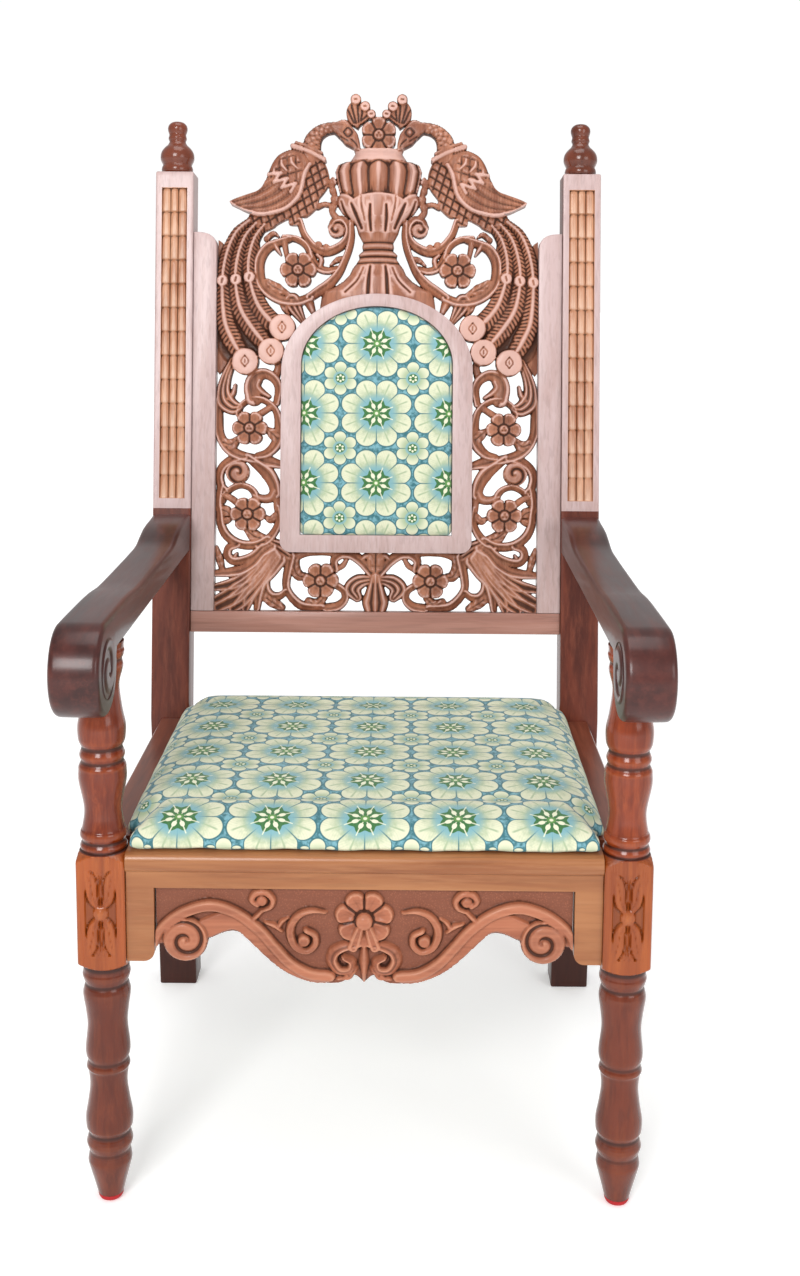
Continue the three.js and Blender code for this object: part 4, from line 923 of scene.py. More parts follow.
    # Vase: half-round, with gadroons and leaves
    rows = np.array([(84, 588), (82, 604), (79, 614), (64, 621), (50, 630), (41, 639), (37, 648), (28, 660),
                     (27, 662), (28, 668), (22, 674), (23, 679), (22, 686), (29, 699), (32, 710), (41, 719),
                     (52, 728), (60, 740), (61, 748), (59, 752), (56, 756), (61, 775), (63, 789), (59, 799),
                     (50, 803), (41, 804), (34, 815), (36, 820)], dtype=float)
    sl = g.window([(0, 586), (88, 822)], 2)
    U, V = g.U[sl], g.V[sl]
    R = np.interp(V, rows[:, 1], rows[:, 0])
    q = np.clip(U / R, 0, 0.999)
    round_h = 4 + 21 * np.sqrt(1 - q ** 2) * np.clip(R / 62 + 0.28, 0, 1)
    angle = np.arcsin(q)
    lobe = np.abs(np.cos(angle * 6.6)) ** 0.7
    leaf_top = 747 + 10 * np.abs(np.cos(angle * 2.5)) ** 0.6
    bulb = ((V > leaf_top) & (V < 803)).astype(float)
    leafy = ((V > 700) & (V <= leaf_top)).astype(float)
    ease = np.clip((V - 740) / 8, 0, 1) * np.clip((804 - V) / 5, 0, 1)
    h = round_h - bulb * 7.0 * (1 - lobe) * ease + leafy * 1.6 * np.clip((leaf_top - V) / 2, 0, 1)
    # Painted light and shade on the vase: shade between the gadroons, under the leaf tips, under the shoulder
    # and in the ring lines; highlights on the gadroon crowns and leaf edges, and a painted reflection on the
    # flat rim above.
    tone = (0.1 - bulb * ease * 0.75 * np.clip(1 - lobe / 0.5, 0, 1)
            + bulb * 0.3 * np.clip((lobe - 0.96) / 0.03, 0, 1))
    tone = (tone - 0.5 * np.exp(-((V - leaf_top - 1.2) / 1.3) ** 2)
            + 0.3 * np.exp(-((V - leaf_top + 2.4) / 1.4) ** 2))
    shoulder = 794 + 8 * lobe
    h = h - 2.0 * np.exp(-((V - shoulder - 1) / 1.4) ** 2)
    tone = tone - 0.6 * np.exp(-((V - shoulder - 1) / 1.5) ** 2)
    for low, high, grow in ((655, 664, 3.0), (665, 673, 2.6), (677, 684, 2.0), (803, 809, 1.5),
                            (814, 821, 2.4)):
        middle = (low + high) / 2
        h = h + grow * np.clip(1 - ((V - middle) / ((high - low) / 2)) ** 2, 0, 1)
    for line in (655.5, 664.5, 675, 685.5):
        h = h - 1.6 * np.exp(-((V - line) / 1.4) ** 2)
        tone = tone - 0.5 * np.exp(-((V - line) / 1.4) ** 2)
    tone = tone + 0.42 * (V > 805)
    d = np.maximum.reduce([U - R, V - 820.5, 586 - V])
    g.put(sl, d, np.where(d < 1.5, h, 0), tone=tone)
    for points, widths in (
        ([(11.5, 739), (12, 722), (10.5, 702)], [3.5, 5.5, 4]),
        ([(39, 741), (33, 727), (24, 706)], [3.5, 6, 4]),
        ([(54, 745), (49, 731), (39, 716)], [2.5, 4, 2.5]),
        ([(25, 752), (24, 736), (19, 716)], [1.6, 2.4, 1.6]),
        ([(11, 651), (13, 632), (14, 610)], [3.5, 6, 6]),
        ([(21, 649), (30, 630), (47, 613)], [2, 3, 3]),
    ):
        g.slot(points, widths)
    # Room for the frame round it
    arch_half, foot_v, spring, top = 137.8, 237.7, 499.0, 610.3
    r_up = np.sqrt((g.U / arch_half) ** 2 + ((g.V - spring) / (top - spring)) ** 2)
    upper = (r_up - 1) * 118
    sides = np.maximum(g.U - arch_half, foot_v - g.V)
    corner = np.hypot(np.maximum(g.U - (arch_half - 16), 0), np.maximum(foot_v + 16 - g.V, 0)) - 16
    lower = np.where((g.U > arch_half - 16) & (g.V < foot_v + 16), corner, sides)
    room = np.where(g.V > spring, upper, lower)
    g.cut(room)
    g.D = np.maximum(g.D, g.U - 231.4)
    g.D = np.maximum(g.D, 153.4 - g.V)
    points, faces, attributes = g.mesh(lambda u, v, w: back_point(u, v, w + CARVED_W))
    obj = add_mesh("openwork_back", points, faces, carved_wood, "carved_wood", "carved_back", smooth=180,
                   attributes=attributes)
    thin(obj, BACK_TRIANGLES)
    obj.data.set_sharp_from_angle(angle=math.radians(50))
    return obj


carve_back()


# Carved apron
APRON_STEP = 1.0
APRON_TRIANGLES = 90000


def carve_apron():
    """The carved board under the front rail."""
    g = Relief(0, 232.5, 268, 384.4, APRON_STEP)
    ground = 20.0
    edge = [(0, 273), (11, 281), (24, 273), (36, 271), (48, 272), (61, 275), (82, 285), (102, 301),
            (125, 323), (136, 329), (147, 332), (160, 329), (176, 322), (190, 318), (240, 318)]
    P, _ = spline(edge, 6)
    g.plate([tuple(p) for p in P] + [(240, 392), (-20, 392), (-20, 273)], ground, 1.0, 0.6, 1)
    st = g.stroke
    st([(236, 326), (190, 331), (176, 336), (160, 343), (147, 346), (134, 342), (122, 331), (102, 309),
        (82, 292), (61, 282), (44, 279)], [18, 22, 24, 24, 24, 24, 22, 20, 18, 16, 14], "round", ground + 5,
       4)
    g.disc((199, 324), 25, ground + 3, 3, 4)
    st([(233, 319), (228, 333), (216, 345), (198, 356), (171, 363), (143, 355), (118, 336), (99, 314),
        (82, 296), (61, 284), (38, 281)], [8, 10, 12, 13, 13, 12, 12, 12, 12, 12, 12], "round", ground + 9,
       shine=0.12)
    g.spiral((199, 324), 24.5, ground + 9, 1.5, 0.1, -1)
    st([(114, 357), (104, 362), (102, 371), (110, 379), (120, 378), (125, 370), (119, 364)],
       [4, 6, 7, 8, 8, 7, 6], "round", ground + 8)
    g.disc((114, 369), 6.5, ground + 7, 4, 5)
    st([(114, 357), (122, 349), (132, 344)], [5, 6, 2], "round", ground + 7)
    st([(110, 343), (100, 340), (92, 333)], [4, 9, 4], "ridge", ground + 7)
    st([(96, 338), (91, 345), (84, 349)], [6, 5, 2], "round", ground + 6)
    st([(43, 356), (58, 358), (72, 353), (81, 341), (82, 328), (76, 316), (64, 311), (55, 318), (55, 329),
        (65, 335)],
       [3, 6, 8, 9, 9, 9, 8, 8, 7, 6], "round", ground + 9)
    g.disc((67, 323), 7, ground + 9, 4, 6)
    g.flower((0, 349), 33, ground + 9, 7, 0.25)
    st([(3, 345), (7, 332), (12, 317)], [5, 10, 12], "hollow", ground + 11, 4, shine=0.35)
    g.disc((0, 347), 9.5, ground + 14, 6, 8, 0.1)
    st([(6, 320), (20, 318), (33, 311), (36, 299), (28, 288), (16, 289), (13, 299), (22, 304)],
       [7, 11, 13, 13, 12, 10, 9, 7], "side", ground + 10)
    st([(0, 316), (0, 298), (0, 276)], [8, 12, 4], "ridge", ground + 8)
    st([(10, 290), (18, 280), (30, 277)], [8, 9, 4], "leaf", ground + 6)
    g.D = np.maximum(g.D, g.U - 232.0)
    g.D = np.maximum(g.D, g.V - 383.4)

    def place(x, z, h):
        return np.stack([x, 32 - SHIFT_Y - h, z], -1) * MM

    points, faces, attributes = g.mesh(place, ground)
    obj = add_mesh("apron_carving", points, faces, apron_wood, "carved_wood", "carved_apron", smooth=180,
                   attributes=attributes)
    thin(obj, APRON_TRIANGLES)
    obj.data.set_sharp_from_angle(angle=math.radians(50))


carve_apron()


# Turned parts
def smooth_profile(pairs, per=6):
    """Rounded profile through [height, radius] pairs."""
    P, _ = spline(pairs, per)
    return P


LOWER = [
    (0, 14.5), (0.05, 18), (0.1, 21.8), (0.143, 24.7), (0.165, 24.4), (0.19, 23.2), (0.21, 24.9),
    (0.23, 26.2), (0.25, 24.9), (0.27, 23.4), (0.285, 24.9), (0.3, 26.3), (0.345, 26.5), (0.41, 23.4),
    (0.48, 21.1), (0.54, 22.6), (0.56, 24.5), (0.585, 22.7), (0.61, 24.6), (0.645, 25), (0.735, 22.5),
    (0.8, 23.9), (0.87, 26.6), (0.9, 25.4), (0.918, 23.8), (0.935, 25.3), (0.957, 26.8), (0.975, 25.8),
    (1.0, 25.6),
]
UPPER = [
    (0, 25.4), (0.02, 26.2), (0.042, 24), (0.056, 25.1), (0.07, 26.2), (0.09, 25.4), (0.11, 23.4), (0.2, 21),
    (0.33, 26.3), (0.385, 26.4), (0.405, 26), (0.43, 23.4), (0.46, 25), (0.495, 22.4), (0.515, 24.4),
    (0.54, 26), (0.6, 26.4), (0.68, 22.9), (0.79, 20.3), (0.86, 23.9), (0.885, 25), (0.915, 23.7),
    (0.93, 25.2), (0.95, 26.4), (0.97, 25.6), (1, 26.3),
]


def block_relief():
    """Depth of the carving on a block's front face, from x and z."""
    g = Relief(-27, 27, BLOCK_LOW, BLOCK_HIGH, 0.75, floor=-2.2)
    middle = 355.5
    for up in (-1, 1):
        def z(k):
            return middle + up * k

        for side in (-1, 1):
            g.stroke([(side * 2.5, z(5)), (side * 7.5, z(16)), (side * 9.5, z(30)), (side * 12, z(42)),
                      (side * 17, z(50))],
                     [5, 12, 15.5, 13, 6], "round", 0.4, 1.6)
            g.groove([(side * 3, z(9)), (side * 8, z(18)), (side * 10, z(30)), (side * 13, z(43))], 2.0, 1.4)
            g.groove([(side * 1, z(9)), (side * 2.6, z(20)), (side * 3.2, z(32)), (side * 5, z(41)),
                      (side * 10, z(50))],
                     2.2, 2.6)
            g.groove([(side * 5, z(3)), (side * 13.5, z(12)), (side * 17, z(24)), (side * 17.5, z(38))], 2.2,
                     2.6)
            g.groove([(side * 6, z(46)), (side * 12, z(50))], 1.6, 1.6)
            g.stroke([(side * 2.5, z(41)), (side * 6, z(50))], [2, 5], "round", 0.4, 1.5)
        g.stroke([(0, z(10)), (0, z(26)), (0, z(38))], [1.5, 5, 1.5], "ridge", 0.0, 1.5)
        g.stroke([(0, z(40)), (0, z(50))], [2, 4.5], "round", 0.4, 1.5)
    g.disc((0, middle), 8.0, 1.2, 1.5, 2)
    g.disc((0, middle), 4.4, 2.6, 1.8, 2)
    panel = np.maximum(np.abs(g.U) - 18, np.abs(g.V - middle) - 50)
    g.H = np.where(panel > 0, 0.0, np.where(panel > -1.5, g.H * np.clip(-panel / 1.5, 0, 1), g.H))
    return g


def sample(g, x, z):
    """Height of a relief at x and z, between its grid points."""
    i = np.clip((x - g.u[0]) / g.step, 0, len(g.u) - 1.001)
    j = np.clip((z - g.v[0]) / g.step, 0, len(g.v) - 1.001)
    i0, j0 = i.astype(int), j.astype(int)
    fi, fj = i - i0, j - j0
    H = g.H
    return ((H[j0, i0] * (1 - fi) + H[j0, i0 + 1] * fi) * (1 - fj)
            + (H[j0 + 1, i0] * (1 - fi) + H[j0 + 1, i0 + 1] * fi) * fj)


def ring_faces(rows, columns):
    """Quads of a closed tube of rings, without its ends."""
    j, i = np.meshgrid(np.arange(rows - 1), np.arange(columns), indexing="ij")
    k = (i + 1) % columns
    return np.stack([j * columns + i, j * columns + k, (j + 1) * columns + k, (j + 1) * columns + i],
                    -1).reshape(-1, 4)


def capped(faces, rows, columns):
    """Face lists with both ends closed."""
    out = [list(map(int, f)) for f in faces]
    out.append(list(range(columns))[::-1])
    out.append([(rows - 1) * columns + i for i in range(columns)])
    return out


def front_leg(name, x0, carving):
    """A turned leg with its square block and the arm post above it."""
    low = smooth_profile([(8.3 + s * (288 - 8.3), r) for s, r in LOWER], 6)
    high = smooth_profile([(423 + s * (659.7 - 423), r) for s, r in UPPER], 6)
    block = np.arange(299, 413, 1.6)
    zs = np.concatenate([low[:, 0], [288.6, 289.4, 291, 293, 295, 297], block,
                         [414, 416, 418, 420, 421.6, 422.4], high[:, 0]])
    rs = np.concatenate([low[:, 1], [26.6, 27.4, 30.2, 33, 35.8, 38.6], np.full(len(block), 40.0),
                         [38.6, 35.8, 33, 30.2, 27.4, 26.4], high[:, 1]])
    per = 36
    corners = np.linspace(-1, 1, per, endpoint=False)
    angles = np.concatenate([np.arctan(corners) + k * math.pi / 2 for k in range(4)])
    columns = len(angles)
    c, s = np.cos(angles), np.sin(angles)
    square = 26.9 / np.maximum(np.abs(c), np.abs(s))
    r = np.minimum(rs[:, None], square[None, :])
    soft = np.minimum(r, 36.8)
    X, Y = soft * c, soft * s
    Z = np.repeat(zs[:, None], columns, axis=1)
    front = (Y < -26.6) & (Z > 293) & (Z < 418)
    dent = sample(carving, np.clip(X * (1 if x0 > 0 else -1), -27, 27), Z)
    Y = np.where(front, Y - dent, Y)
    # painted light and shade on the block's carving: lighter where raised, darker where cut
    tone = np.where(front, np.clip(0.60 + dent * 0.12, 0.30, 0.85), 0.55)
    turning = (Z < BLOCK_LOW) | (Z > BLOCK_HIGH)
    # Painted highlights on the beads and painted shade in the coves: the radius against its running mean.
    even = np.arange(0, 660.0)
    radius_at = np.interp(even, zs, rs)
    mean = np.convolve(np.pad(radius_at, 7, mode="edge"), np.ones(15) / 15, mode="valid")
    bead = (rs - np.interp(zs, even, mean))[:, None]
    tone = np.where(turning, np.clip(0.53 + bead * 0.30, 0.16, 0.72), tone)
    points = np.stack([X + x0, Y + 27 - SHIFT_Y, Z], -1).reshape(-1, 3) * MM
    faces = capped(ring_faces(len(zs), columns), len(zs), columns)
    obj = add_mesh(name, points, faces, turned_wood, "turned_wood", name.replace("turned", "front"),
                   smooth=32, attributes={"relief": tone.ravel()})
    obj.data.materials.append(block_wood)
    marks = np.zeros(len(obj.data.polygons), dtype=np.int32)
    marks[:(len(zs) - 1) * columns] = np.repeat((zs[:-1] > 288.8) & (zs[1:] < 422.2), columns)
    obj.data.polygons.foreach_set("material_index", marks)
    return obj


def lathe(name, profile, place, material, slot, node, columns=64, smooth=40):
    """A turned piece from its profile of heights and radii."""
    angles = np.arange(columns) * 2 * math.pi / columns
    P = np.asarray(profile)
    X = P[:, 1:2] * np.cos(angles)
    Y = P[:, 1:2] * np.sin(angles)
    Z = np.repeat(P[:, 0:1], columns, axis=1)
    points = place(X.ravel(), Y.ravel(), Z.ravel())
    return add_mesh(name, points, capped(ring_faces(len(P), columns), len(P), columns), material, slot, node,
                    smooth=smooth)


block_carving = block_relief()
FINIAL = [(0, 19.5), (0.02, 21.5), (0.06, 22.4), (0.1, 22.4), (0.14, 21.6), (0.17, 20.6), (0.2, 21.6),
          (0.27, 23.9), (0.34, 24.2), (0.4, 23.4), (0.45, 21.6), (0.5, 18.6), (0.55, 14.6), (0.6, 12.1),
          (0.63, 11.8), (0.66, 12.8), (0.69, 13.1), (0.73, 12.3), (0.76, 12.1), (0.8, 13.2), (0.86, 14.1),
          (0.91, 13.6), (0.95, 11.9), (0.985, 8.6), (1.0, 4.5)]
for side, sign in SIDES:
    x0 = sign * LEG_X
    front_leg(f"turned_leg_{side}", x0, block_carving)
    glide = [(0, 8.8), (0.6, 9.6), (2.5, 12.6), (5, 14), (7.4, 14.6), (8, 14.2)]
    lathe(f"red_foot_{side}", glide, lambda X, Y, Z: np.stack([X + x0, Y + 27 - SHIFT_Y, Z], -1) * MM,
          red_felt, "felt", f"foot_glide_{side}", 40)
    profile = smooth_profile([(783.3 + h * 76, r) for h, r in FINIAL], 4)
    lathe(f"turned_finial_{side}", profile, lambda X, Y, Z: back_point(X + x0, Z, Y - 25), finial_wood,
          "turned_wood", f"finial_{side}")


# Arms
def arm_limit(z):
    """How far back the arm may reach at this height, just clear of the reclined post."""
    return POST_Y + (z - SEAT_Z) * math.tan(RECLINE) - 0.4


def arm_outline():
    """The arm from the side, as y and z in the sizing frame, running once round."""
    top = [(531, 713), (500, 713), (470, 712), (445, 710), (425, 706), (412, 703), (400, 700), (388, 698),
           (370, 696.6), (300, 696), (220, 696), (160, 696.2), (130, 697), (105, 699), (85, 700.5),
           (50, 701.6), (0, 702), (-30, 702.1)]
    last = math.asin((ARM_UNDER - SCROLL_Z) / SCROLL_RADIUS)
    scroll = [(SCROLL_Y + SCROLL_RADIUS * math.cos(a), SCROLL_Z + SCROLL_RADIUS * math.sin(a))
              for a in np.linspace(math.pi / 2, 2 * math.pi + last, 54)]
    bottom = [(y, ARM_UNDER) for y in (20, 60, 120, 200, 300, 400, 480)]
    end = [(arm_limit(z), z) for z in (ARM_UNDER, ARM_TOP_REAR)]
    return np.array(top[1:] + scroll + bottom + end)


def inset(P, amount):
    """The outline moved inwards, with its normals taken from its neighbours."""
    before, after = np.roll(P, 1, axis=0), np.roll(P, -1, axis=0)
    along = after - before
    along /= np.maximum(np.hypot(along[:, 0], along[:, 1])[:, None], 1e-9)
    normal = np.stack([-along[:, 1], along[:, 0]], -1)
    return P + normal * amount


def arm(side, sign):
    """An arm with eased edges and a spiral on both faces of its scroll."""
    P = arm_outline()
    stations = [(-26.5, 6.0), (-26.2, 4.2), (-25.3, 2.6), (-23.9, 1.2), (-22.0, 0.35), (-19.5, 0.0),
                (-8, -0.25), (8, -0.25), (19.5, 0.0), (22.0, 0.35), (23.9, 1.2), (25.3, 2.6), (26.2, 4.2),
                (26.5, 6.0)]
    n = len(P)
    rows = []
    for x, amount in stations:
        Q = inset(P, amount)
        Q[-2:, 0] = P[-2:, 0]
        Q[:, 0] = np.minimum(Q[:, 0], arm_limit(Q[:, 1]))
        rows.append(np.stack([np.full(n, x + sign * LEG_X), Q[:, 0] - SHIFT_Y, Q[:, 1]], -1))
    points = np.vstack(rows)
    faces = capped(ring_faces(len(stations), n), len(stations), n)
    base = len(points)
    # Spiral discs on both faces of the scroll
    extra, extra_faces = [], []
    rings, spokes = 34, 96
    for face in (-1, 1):
        start_at = base + len(extra)
        radii = np.linspace(0.01, 33.0, rings)
        angle = np.arange(spokes) * 2 * math.pi / spokes
        for r in radii:
            share = (r / 33.0 * 1.1 - face * angle / (2 * math.pi) + 0.2) % 1.0
            rise = 2.0 - 4.4 * np.exp(-((share - 0.5) / 0.16) ** 2) * (5 < r < 31.5)
            rise = rise - 2.5 * np.clip((r - 30.5) / 2.5, 0, 1) ** 2
            y = SCROLL_Y + r * np.cos(angle)
            z = SCROLL_Z + r * np.sin(angle)
            x = sign * LEG_X + face * (26.45 + rise)
            extra.extend(np.stack([x, y - SHIFT_Y, z], -1))
        quads = ring_faces(rings, spokes)
        quads = quads if face > 0 else quads[:, ::-1]
        extra_faces += [[int(i) + start_at for i in f] for f in quads]
    points = np.vstack([points, np.array(extra)]) * MM
    obj = add_mesh(f"scrolled_arm_{side}", points, faces + extra_faces, arm_wood, "arm_wood", f"arm_{side}",
                   smooth=38)
    bm = bmesh.new()
    bm.from_mesh(obj.data)
    ngons = [f for f in bm.faces if len(f.verts) > 4]
    bmesh.ops.triangulate(bm, faces=ngons)
    bm.to_mesh(obj.data)
    bm.free()


for side, sign in SIDES:
    arm(side, sign)


# Rear posts and tiles
def tile_height(U, V):
    """Depth of the strip's surface below the post's face, at u across and v up."""
    pitch = (TILE_HIGH - TILE_LOW) / TILE_ROWS
    a = np.abs(U)
    column = a > 5.4
    row = (V - TILE_LOW) / pitch
    part = row - np.floor(row)
    x = np.where(column, (a - 11.4) / 6.0, U / 5.6)
    across = np.sqrt(np.maximum(0, 1 - np.clip(np.abs(x), 0, 0.98) ** 2))
    arched = np.clip((part - 0.82 - 0.14 * across) / 0.04, 0, 1)
    height = -3.4 + 2.3 * across + 1.6 * (1 - part) * 0.6
    height = height - 1.5 * arched
    seam = np.exp(-((a - 5.5) / 0.8) ** 2) * 1.1
    fluted = 0.35 * (0.5 + 0.5 * np.cos(U * 2.2))
    return np.clip(height - seam - fluted, -4.6, 0.4)


def rear_post(side, sign):
    """The raked rear leg and reclined upright with its strip of tiles."""
    us = np.concatenate([[-26.9, -26.6, -25.9, -25.0, -22.0, -18.3, -18.0], np.linspace(-17.4, 17.4, 47),
                         [18.0, 18.3, 22.0, 25.0, 25.9, 26.6, 26.9]])
    edge = np.array([-1.6, -0.75, -0.2, 0, 0, 0, 0] + [0] * 47 + [0, 0, 0, 0, -0.2, -0.75, -1.6])
    rest = [(26.9, -48.6), (26.5, -49.5), (25.5, -50), (0, -50), (-25.5, -50), (-26.5, -49.5), (-26.9, -48.6)]
    vs = np.concatenate([np.linspace(2, 300, 12), [314.2, 314.6], np.linspace(315.2, 758.8, TILE_ROWS * 14),
                         [759.4, 760, 775], [780.5, 782.2, 783]])
    rows, tones = [], []
    # The lower leg, from the floor to the seat
    for z in (0.0, 1.5, 60, 150, 250, 340, 400, 424):
        y0 = POST_Y + (SEAT_Z - z) * math.tan(RAKE)
        take = 1.4 if z == 0 else 0.0
        ring = [(u * (1 - take / 27), y0 - w / math.cos(RAKE) + take, z) for u, w in zip(us, edge)]
        ring += [(u * (1 - take / 27), y0 - w / math.cos(RAKE) - take, z) for u, w in rest]
        rows.append([(sign * LEG_X + x, y - SHIFT_Y, zz) for x, y, zz in ring])
        tones.append([0.5] * len(ring))
    for v in vs:
        inside = TILE_LOW < v < TILE_HIGH
        w = edge.copy()
        tone = np.full(len(us), 0.5)
        if inside:
            strip = np.abs(us) < 17.9
            w = np.where(strip, tile_height(us, np.full(len(us), v)), w)
            # painted highlight on the tiles' high parts and painted shade in their low parts
            tone = np.where(strip, np.clip(0.52 + (w + 1.7) * 0.2, 0.18, 0.9), tone)
        shrink = 1.5 if v > 782.5 else (0.4 if v > 781 else 0.0)
        ring = [(u * (1 - shrink / 27), ww) for u, ww in zip(us, w)] + rest
        spot = [back_point(sign * LEG_X + u, v, ww - (shrink if k < len(us) else -shrink)) / MM
                for k, (u, ww) in enumerate(ring)]
        rows.append([tuple(p) for p in spot])
        tones.append(list(tone) + [0.5] * len(rest))
    n = len(rows[0])
    points = np.array(rows).reshape(-1, 3) * MM
    faces = capped(ring_faces(len(rows), n), len(rows), n)
    obj = add_mesh(f"carved_post_{side}", points, faces, post_wood, "pale_wood", f"rear_post_{side}",
                   smooth=40, attributes={"relief": np.array(tones).ravel()})
    obj.data.materials.append(tile_wood)
    obj.data.materials.append(pale_wood)
    first = len(rows) - len(vs)  # rows of the lower leg
    marks = np.zeros(len(obj.data.polygons), dtype=np.int32)
    strip_columns = [i for i in range(len(us) - 1) if abs((us[i] + us[i + 1]) / 2) < 18.2]
    for j in range(first, len(rows) - 1):
        v = (vs[j - first] + vs[j - first + 1]) / 2
        for i in range(n):
            if TILE_LOW - 1 < v < TILE_HIGH + 1 and i in strip_columns:
                marks[j * n + i] = 1
            # The front above the arms is in the pale wood, which holds a painted reflection of light on this
            # flat face.
            elif i < len(us) and v > 289:  # the pale front above the arms
                marks[j * n + i] = 2
    obj.data.polygons.foreach_set("material_index", marks)
    bm = bmesh.new()
    bm.from_mesh(obj.data)
    bmesh.ops.recalc_face_normals(bm, faces=bm.faces)
    bm.to_mesh(obj.data)
    bm.free()


for side, sign in SIDES:
    rear_post(side, sign)


# Frame pieces with eased edges
def dress(node, material):
    """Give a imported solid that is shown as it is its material."""
    obj = bpy.data.objects.get(node)
    obj.data.materials.clear()
    obj.data.materials.append(material)


def prism(name, outline, place, low, high, material, node, ease=1.2, hole=None):
    """An outline extruded from low to high, its edges eased; hole is a second loop cut out of it."""
    bm = bmesh.new()
    loops = [outline] + ([hole] if hole else [])
    edges = []
    for loop in loops:
        verts = [bm.verts.new((a, b, 0)) for a, b in loop]
        edges += [bm.edges.new((verts[i], verts[(i + 1) % len(verts)])) for i in range(len(verts))]
    bmesh.ops.triangle_fill(bm, use_beauty=True, use_dissolve=False, edges=edges)
    made = bmesh.ops.extrude_face_region(bm, geom=list(bm.faces))
    for item in made["geom"]:
        if isinstance(item, bmesh.types.BMVert):
            item.co.z = 1
    bm.verts.ensure_lookup_table()
    for vert in bm.verts:
        w = low + (high - low) * vert.co.z
        vert.co = Vector(place(vert.co.x, vert.co.y, w))
    bmesh.ops.recalc_face_normals(bm, faces=bm.faces)
    sharp = [e for e in bm.edges if len(e.link_faces) == 2 and e.calc_face_angle(0) > math.radians(40)]
    bmesh.ops.bevel(bm, geom=sharp, offset=ease * MM, segments=3, affect="EDGES", profile=0.5,
                    clamp_overlap=True)
    mesh = bpy.data.meshes.new(name)
    bm.to_mesh(mesh)
    bm.free()
    obj = bpy.data.objects.new(name, mesh)
    bpy.context.scene.collection.objects.link(obj)
    mesh.materials.append(material)
    mesh.shade_smooth()
    mesh.set_sharp_from_angle(angle=math.radians(20))
    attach(obj, "root")
    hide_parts(node)
    return obj


def in_back(u, v, w):
    """A point of the reclined back as a plain tuple."""
    return tuple(back_point(u, v, w))


def arch_loop(half, foot, spring, top, corner, steps=48):
    """Outline of an arch, with rounded lower corners if corner is not 0."""
    points = [(half * math.cos(a), spring + (top - spring) * math.sin(a))
              for a in np.linspace(0, math.pi, steps + 1)]
    if corner:
        points += [(-half + corner - corner * math.cos(a), foot + corner - corner * math.sin(a))
                   for a in np.linspace(0, math.pi / 2, 7)]
        points += [(half - corner + corner * math.sin(a), foot + corner - corner * math.cos(a))
                   for a in np.linspace(0, math.pi / 2, 7)]
    else:
        points += [(-half, foot), (half, foot)]
    return points


prism("arched_frame", arch_loop(137.5, 238, 499, 610, 16), in_back, -34, -4, pale_wood,
      "arch_frame", 0.7, arch_loop(109, 263, 507, 592, 0))
for side, sign in SIDES:
    fall = [(264.7, 697.3), (258, 697.3), (250, 696.6), (243, 694.6), (237, 690.6), (233.4, 685.3),
            (231.7, 678)]
    loop = [(231.7, 153.3), (264.7, 153.3)] + fall
    if sign < 0:
        loop = [(-u, v) for u, v in loop][::-1]
    prism(f"stile_{side}", loop, in_back, -34, -6, pale_wood, f"back_stile_{side}")
prism("lower_back_rail", [(-264.7, 123), (264.7, 123), (264.7, 153), (-264.7, 153)], in_back, -34, -6,
      pale_wood_across, "back_bottom_rail")


def upright(x, z, y):
    """A point from across, height and depth, in metres."""
    return (x * MM, (y - SHIFT_Y) * MM, z * MM)


def nosed_rail():
    """The front rail with its nosing and the two brackets."""
    end = 264.7
    face, rear = 6.0, 34.0
    nose = ([(face, 403)]
            + [(face - 6 * math.sin(a), 413.5 - 10.5 * math.cos(a))
               for a in np.linspace(0.35, math.pi * 0.86, 12)])
    nose += [(face + 1.5, 424.2), (face + 6, 425)]
    section = [(rear, 384), (face, 384)] + nose + [(rear, 425)]
    xs = [-end, -end + 0.6, end - 0.6, end]
    rings = []
    for k, x in enumerate(xs):
        push = 0.6 if k in (0, 3) else 0.0
        rings.append([(x, y + (push if y < 20 else -push), z + (push if z < 400 else -push)) for y,
                      z in section])
    n = len(section)
    points = np.array(rings).reshape(-1, 3)
    points[:, 1] -= SHIFT_Y
    add_mesh("nosed_front_rail", points * MM, capped(ring_faces(4, n)[:, ::-1], 4, n), rail_wood, "rail_wood",
             "front_rail", smooth=30)
    for sign in (-1, 1):
        curve = [(end - 19 - 12 * math.cos(a), 310 - 12 * math.sin(a))
                 for a in np.linspace(0, math.pi / 2, 9)]
        loop = [(end, 384.2), (end - 31, 384.2)] + curve + [(end, 298)]
        loop = [(sign * x, z) for x, z in loop]
        side = "left" if sign < 0 else "right"
        prism(f"rail_bracket_{side}", loop, upright, face, rear, rail_wood, "front_rail", 0.9)


nosed_rail()
for side in ("left", "right"):
    dress(f"side_rail_{side}", side_rail_wood)
dress("rear_rail", side_rail_wood)


